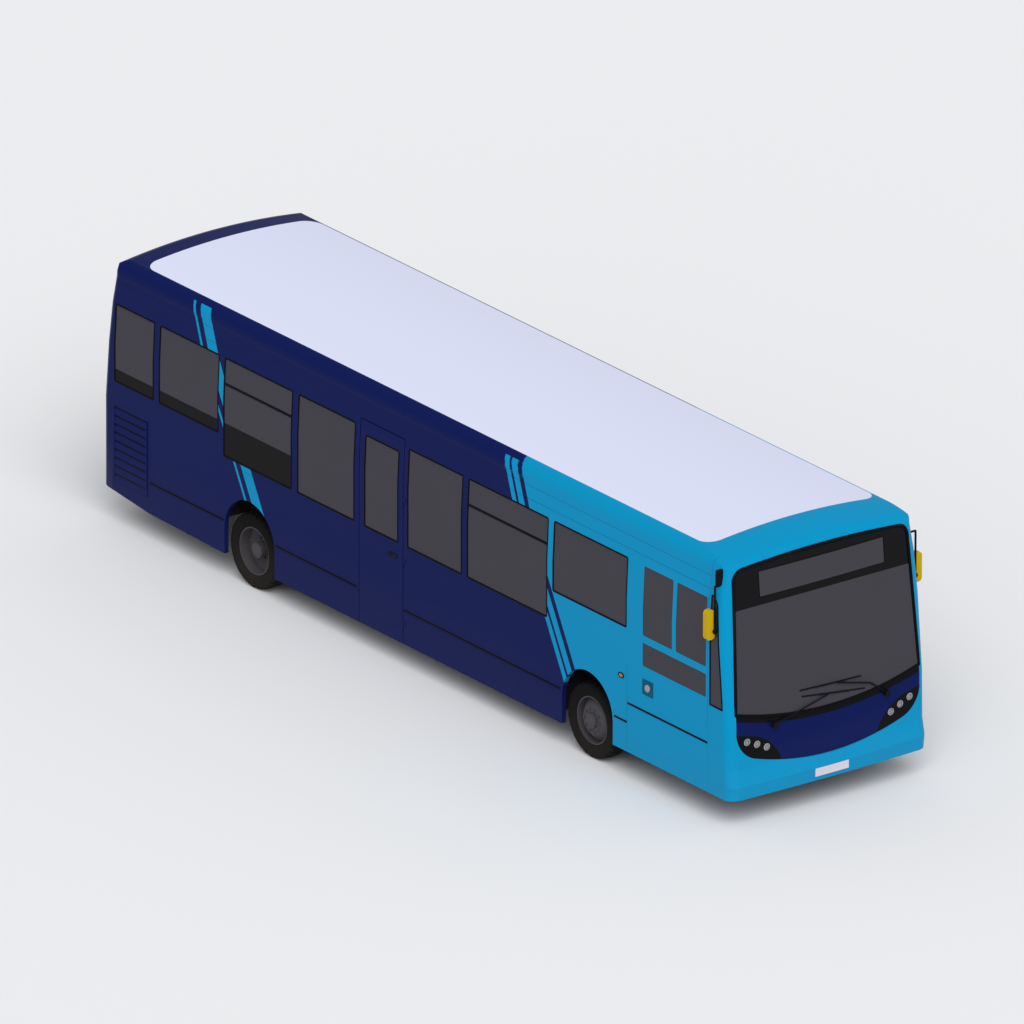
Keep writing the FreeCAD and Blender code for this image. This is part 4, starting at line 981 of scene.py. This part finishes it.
def makeWipers():
    def onGlass(line, off, radius, sides=1):
        return tube([(x, noseY(x, z) - off, z) for x, z in line], radius, sides=sides)

    for name in ("upper", "lower"):
        armLine, bladeLine = wipers[name + "Arm"], wipers[name + "Blade"]
        arm = onGlass(armLine, 0.022, wipers["armRadius"], 2)
        blade = onGlass(bladeLine, 0.007, wipers["bladeRadius"])
        holder = onGlass(bladeLine[1:-1], 0.015, wipers["holderRadius"])
        x, z = armLine[0]
        hub = spun([(-0.036, 0.0), (-0.036, 0.012), (-0.030, 0.020), (-0.010, 0.022)], (x, noseY(x, z), z),
                   (0, 1, 0), steps=24)
        settle(joined([arm, blade, holder, hub]), "wiper_" + name, "trim")


makeWipers()

# offside trim: louvres of the engine bay, filler recess with its cap, upper mirror
offside = {
    "skinX": -1.220,
    "grille": (4.410, 4.960, 0.440, 1.245),
    "louvres": 9,
    "louvreProud": 0.011,
    "louvreLean": 0.0085,
    "filler": (-3.920, -3.745, 0.985, 1.150),
    "capRadius": 0.038,
    "mirror": ((-1.222, -4.950, 2.500), (-1.140, -4.912, 2.670)),
}


def makeOffside():
    skin = offside["skinX"]
    low, high, foot, head = offside["grille"]
    # a dark navy back plate, painted shade seen through the louvres' gaps
    back = block((skin - 0.002, low, foot), (skin + 0.002, high, head), bevel=0.0015, segments=1)
    settle(back, "grille_back", "louvreGapShade")
    pitch = (head - foot) / offside["louvres"]
    slats = []
    for step in range(offside["louvres"]):
        z = foot + pitch * step
        slat = block((skin - offside["louvreProud"], low + 0.012, z + 0.006),
                     (skin, high - 0.012, z + pitch - 0.020), bevel=0.002, segments=1)
        # the upper edge leans back into the wall
        pick(slat, lambda vert: vert.co.z > z + pitch - 0.026 and vert.co.x < skin - 0.004, "VERT")
        bpy.ops.transform.translate(value=(offside["louvreLean"], 0, 0))
        setMode("OBJECT")
        slats.append(slat)
    for y in (low, high - 0.012):
        slats.append(block((skin - 0.010, y, foot), (skin, y + 0.012, head), bevel=0.003))
    settle(joined(slats), "engine_louvres", "navy")

    low, high, foot, head = offside["filler"]
    # the well's darker cyan is painted shade in the recess
    well = block((skin - 0.004, low, foot), (skin + 0.002, high, head), bevel=0.003)
    settle(dented(well, (-1, 0, 0), 0.008, 0.003), "filler_well", "well")
    r = offside["capRadius"]
    cap = spun([(0.002, r), (-0.010, r), (-0.014, r - 0.004), (-0.012, r - 0.012), (-0.012, 0.010), (-0.016, 0.006),
                (-0.016, 0.0)], (skin, (low + high) / 2, (foot + head) / 2), (1, 0, 0), steps=36)
    settle(cap, "filler_cap", "cap")
    settle(block(*offside["mirror"], bevel=0.014, segments=4), "upper_mirror", "trim")


makeOffside()
print("front made")

# tyres with grooves round the tread and notched shoulders
tyres = {
    "steps": 60,
    "notch": 0.007,
    "notchX": (0.068, 0.099),
    "notchRadius": 0.377,
    "profile": ((-0.091, 0.249), (-0.104, 0.262), (-0.1120, 0.296), (-0.1120, 0.326), (-0.109, 0.352),
                (-0.103, 0.372), (-0.093, 0.386), (-0.080, 0.3915), (-0.058, 0.3935), (-0.056, 0.383),
                (-0.048, 0.383), (-0.046, 0.3945), (-0.023, 0.3950), (-0.021, 0.384), (-0.013, 0.384),
                (-0.011, 0.3950)),
    "wheels": (("front_right", -1.070, "front", "wheel_front_right", "tyre_front_right"),
               ("front_left", 1.070, "front", "wheel_front_left", "tyre_front_left"),
               ("rear_right_outer", -1.070, "rear", "wheels_rear_right", "tyres_rear_right"),
               ("rear_right_inner", -0.808, "rear", "wheels_rear_right", "tyres_rear_right"),
               ("rear_left_outer", 1.070, "rear", "wheels_rear_left", "tyres_rear_left"),
               ("rear_left_inner", 0.808, "rear", "wheels_rear_left", "tyres_rear_left")),
}


def makeTyres():
    half = list(tyres["profile"])
    chain = half + [(-a, r) for a, r in reversed(half)] + [half[0]]
    first = spun(chain, (0, 0, axles["z"]), (1, 0, 0), steps=tyres["steps"])
    span = 2 * math.pi / tyres["steps"]
    low, high = tyres["notchX"]

    def notched(face):
        up = face.center.z - axles["z"]
        turn = int((math.atan2(up, face.center.y) + math.pi) / span)
        isShoulder = low < abs(face.center.x) < high and math.hypot(face.center.y, up) > tyres["notchRadius"]
        return isShoulder and turn % 2 == 0

    pick(first, notched)
    bpy.ops.mesh.extrude_region_shrink_fatten(TRANSFORM_OT_shrink_fatten={"value": -tyres["notch"]})
    setMode("OBJECT")
    smooth(first, 40)
    for name, x, end, body, node in tyres["wheels"]:
        tyre = settle(copied(first, (x, axles[end], 0)), "tyre_" + name, end + "Tyre", body)
        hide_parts(node)
    bpy.data.objects.remove(first, do_unlink=True)


makeTyres()

# wheel nuts round each hub, hub caps with a raised centre
wheelNuts = {
    "count": 10,
    "ring": 0.124,
    "radius": 0.013,
    "length": 0.018,
    # the end, how far out its nuts and its cap stand, the first part of the body's name
    "ends": (("front", 1.1560, 1.1810, "wheel_"), ("rear", 0.9950, 1.1300, "wheels_")),
}


def makeNuts():
    hubs = [(end, x, capX, body + end, side, sign) for end, x, capX, body in wheelNuts["ends"]
            for side, sign in (("_right", -1), ("_left", 1))]
    for end, x, capX, body, side, sign in hubs:
        y, ring, length = axles[end], wheelNuts["ring"], wheelNuts["length"]
        pieces = []
        for step in range(wheelNuts["count"]):
            turn = 2 * math.pi * step / wheelNuts["count"]
            deselectAll()
            bpy.ops.mesh.primitive_cylinder_add(
                vertices=6, radius=wheelNuts["radius"], depth=length, rotation=(0, math.pi / 2, 0),
                location=(sign * (x + length / 2), y + math.cos(turn) * ring, axles["z"] + math.sin(turn) * ring))
            nut = bpy.context.object
            applyPlace()
            pieces.append(dented(nut, (sign, 0, 0), 0.004, -0.003))
        pieces.append(spun([(0.0, 0.062), (sign * 0.004, 0.060), (sign * 0.005, 0.040), (sign * 0.010, 0.034),
                            (sign * 0.012, 0.0)], (sign * capX, y, axles["z"]), (1, 0, 0), steps=32))
        settle(joined(pieces), "nuts_" + end + side, "rim", body + side)


makeNuts()
print("wheels made")

# seats: one cushion and one back, each after a short cloth run, are copied to every place
pads = {
    "cushion": (0.428, 0.428, 0.088),
    "back": (0.428, 0.076, 0.670),
    "cushionAt": (-0.305, 0.405),      # from a seat's own place, along the bus and up
    "backAt": (-0.085, 0.450 + 0.341),
    "voxel": 0.012,
    "pressure": 4.0,
    "frames": 20,
    "cushionCap": 0.012,
    "backCap": 0.010,
    "lean": math.atan2(0.090, 0.680),
    "aisleX": 0.505,
    "wallX": 0.945,
    "rows": ((1, -1.460, 0.360), (1, -0.710, 0.360), (1, 0.040, 0.360), (-1, -1.460, 0.360), (-1, -0.710, 0.360),
             (1, 2.240, 0.640), (-1, 2.240, 0.640), (1, 2.990, 0.640), (-1, 2.990, 0.640), (1, 4.750, 1.060),
             (-1, 4.750, 1.060)),
    "driver": (-0.760, -3.520, 0.560),
    "driverBox": ((-0.88, -4.035, 0.5605), (-0.64, -3.665, 0.600)),
    "driverPost": ((-0.82, -3.94, 0.598), (-0.70, -3.76, 0.918)),
}


def swelled(size, cap, bevel):
    shape = [s - 0.014 for s in size]
    pad = block([-s / 2 for s in shape], [s / 2 for s in shape], bevel=bevel, segments=4)
    remesh = pad.modifiers.new("remesh", "REMESH")
    remesh.mode = "VOXEL"
    remesh.voxel_size = pads["voxel"]
    activate(pad)
    bpy.ops.object.modifier_apply(modifier="remesh")
    rest = [v.co.copy() for v in pad.data.vertices]
    cloth = pad.modifiers.new("cloth", "CLOTH")
    cloth.settings.use_pressure = True
    cloth.settings.uniform_pressure_force = pads["pressure"]
    cloth.settings.effector_weights.gravity = 0.0
    cloth.settings.quality = 6
    cloth.point_cache.frame_start = 1
    cloth.point_cache.frame_end = pads["frames"]
    scene = bpy.context.scene
    for step in range(1, pads["frames"] + 1):
        scene.frame_set(step)
    activate(pad)
    bpy.ops.object.modifier_apply(modifier="cloth")
    for vert, start in zip(pad.data.vertices, rest):
        move = vert.co - start
        if move.length > cap:
            vert.co = start + move * (cap / move.length)
    scene.frame_set(1)
    limits = [max(abs(v.co[i]) for v in pad.data.vertices) for i in range(3)]
    activate(pad)
    pad.scale = [s / 2 / most for s, most in zip(size, limits)]
    applyPlace()
    bpy.ops.object.shade_smooth()
    return pad


def makeSeats():
    cushion = swelled(pads["cushion"], pads["cushionCap"], 0.026)
    back = swelled(pads["back"], pads["backCap"], 0.024)
    seats = [("%02d%s" % (number, letter), sign * x, y, base, "seat_cushions", "seat_backs")
             for number, (sign, y, base) in enumerate(pads["rows"], 1)
             for letter, x in (("a", pads["aisleX"]), ("b", pads["wallX"]))]
    seats.append(("driver",) + pads["driver"] + ("driver_seat", "driver_seat"))
    for name, x, y, base, cushionNode, backNode in seats:
        for kind, pad, lean, node in (("cushion", cushion, 0, cushionNode), ("back", back, pads["lean"], backNode)):
            along, up = pads[kind + "At"]
            made = copied(pad, (x, y + along, base + up))
            made.rotation_euler = (-lean, 0, 0)
            settle(made, kind + "_" + name, "cloth", "bus")
            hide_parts(node)
    for piece in (cushion, back):
        bpy.data.objects.remove(piece, do_unlink=True)
    box = block(*pads["driverBox"], bevel=0.006)
    post = block(*pads["driverPost"], bevel=0.012)
    base = settle(joined([box, post]), "driver_seat_base", "steel")
    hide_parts("driver_seat")


makeSeats()
print("seats made")

# doors: rubber noses on the leaves, a handle on the emergency door
doors = {
    "faceX": 1.205,
    "noses": (("front", -4.139 - 0.026, -4.139 - 0.002), ("rear", -4.131 + 0.002, -4.131 + 0.026)),
    "foot": 0.41,
    "head": 2.15,
    "handle": ((-1.2205, 0.27, 1.115), (-1.2265, 0.41, 1.155)),
}


def makeDoors():
    for name, low, high in doors["noses"]:
        edge = block((doors["faceX"] - 0.002, low, doors["foot"]), (doors["faceX"] + 0.003, high, doors["head"]),
                     bevel=0.0015)
        settle(edge, "door_nose_" + name, "rubber", "leaf_" + name)
    handle = dented(block(*doors["handle"], bevel=0.004), (-1, 0, 0), 0.008, 0.003)
    settle(handle, "exit_handle", "gloss", "exit_door")


makeDoors()

# saloon and cab: poles to the roof with a bar, cab platform
saloon = {
    "poleX": 0.320,
    "poleRadius": 0.016,
    "leftPoles": (-1.345, -0.595, 0.155),
    "rightPoles": (-1.345, -0.595),
    "floor": 0.3605,
    "barZ": 1.900,
    "platform": ((-1.168, -4.590, 0.3605), (-0.332, -3.5225, 0.5595)),
}


def makeSaloon():
    bpy.context.view_layer.update()
    radius, barZ = saloon["poleRadius"], saloon["barZ"]
    for name, sign in (("left", 1), ("right", -1)):
        spots = saloon[name + "Poles"]
        x = sign * saloon["poleX"]
        pieces = []
        for y in spots:
            hit, top, normal, index = nodes["roof"].ray_cast(Vector((x, y, 1.0)), Vector((0, 0, 1)))
            pieces.append(tube([(x, y, saloon["floor"]), (x, y, top.z - 0.001)], radius, sides=4))
        pieces.append(tube([(x, spots[0], barZ), (x, spots[-1], barZ)], radius, sides=4))
        settle(joined(pieces), "poles_" + name, "rail")
    settle(block(*saloon["platform"], bevel=0.006), "cab_platform", "floor")


makeSaloon()

# underside: drive shaft, exhaust and silencer, tanks between the frame and the skirts
under = {
    "shaft": ((0, 2.86, 0.44), (0, 3.86, 0.50)),
    "shaftRadius": 0.045,
    "exhaust": ((0.30, 3.90, 0.46), (0.52, 4.05, 0.46), (0.60, 4.30, 0.45), (0.60, 4.95, 0.44), (0.66, 5.06, 0.43)),
    "exhaustRadius": 0.034,
    "silencer": ((-0.24, 0.034), (-0.23, 0.075), (-0.20, 0.090), (0.20, 0.090), (0.23, 0.075), (0.24, 0.034)),
    "silencerAt": (0.60, 4.62, 0.445),
    "liners": ((2.110, 2.228), (3.192, 3.310)),     # beside the rear wheel boxes
    "linerX": (1.150, 1.168),
    "linerZ": (0.300, 0.930),
    "tanks": ((-0.98, -1.90, -0.90), (0.56, -1.55, -0.55)),
    "tankWidth": 0.42,
    "tankZ": (0.252, 0.3185),
}


def makeUnderside():
    settle(tube(under["shaft"], under["shaftRadius"], sides=4), "drive_shaft", "steel")
    pipe = tube(under["exhaust"], under["exhaustRadius"], sides=4)
    silencer = spun(under["silencer"], under["silencerAt"], (0, 1, 0), steps=32)
    settle(joined([pipe, silencer]), "exhaust_pipe", "steel")
    (inner, outer), (foot, head) = under["linerX"], under["linerZ"]
    liners = [block((inner, low, foot), (outer, high, head), bevel=0.003) for low, high in under["liners"]]
    settlePair(joined(liners), "arch_liners", "arch", ("left", "right"))
    foot, head = under["tankZ"]
    tanks = [block((x, low, foot), (x + under["tankWidth"], high, head), bevel=0.016, segments=3)
             for x, low, high in under["tanks"]]
    settle(joined(tanks), "belly_tanks", "steel")


makeUnderside()
print("doors and underside made")
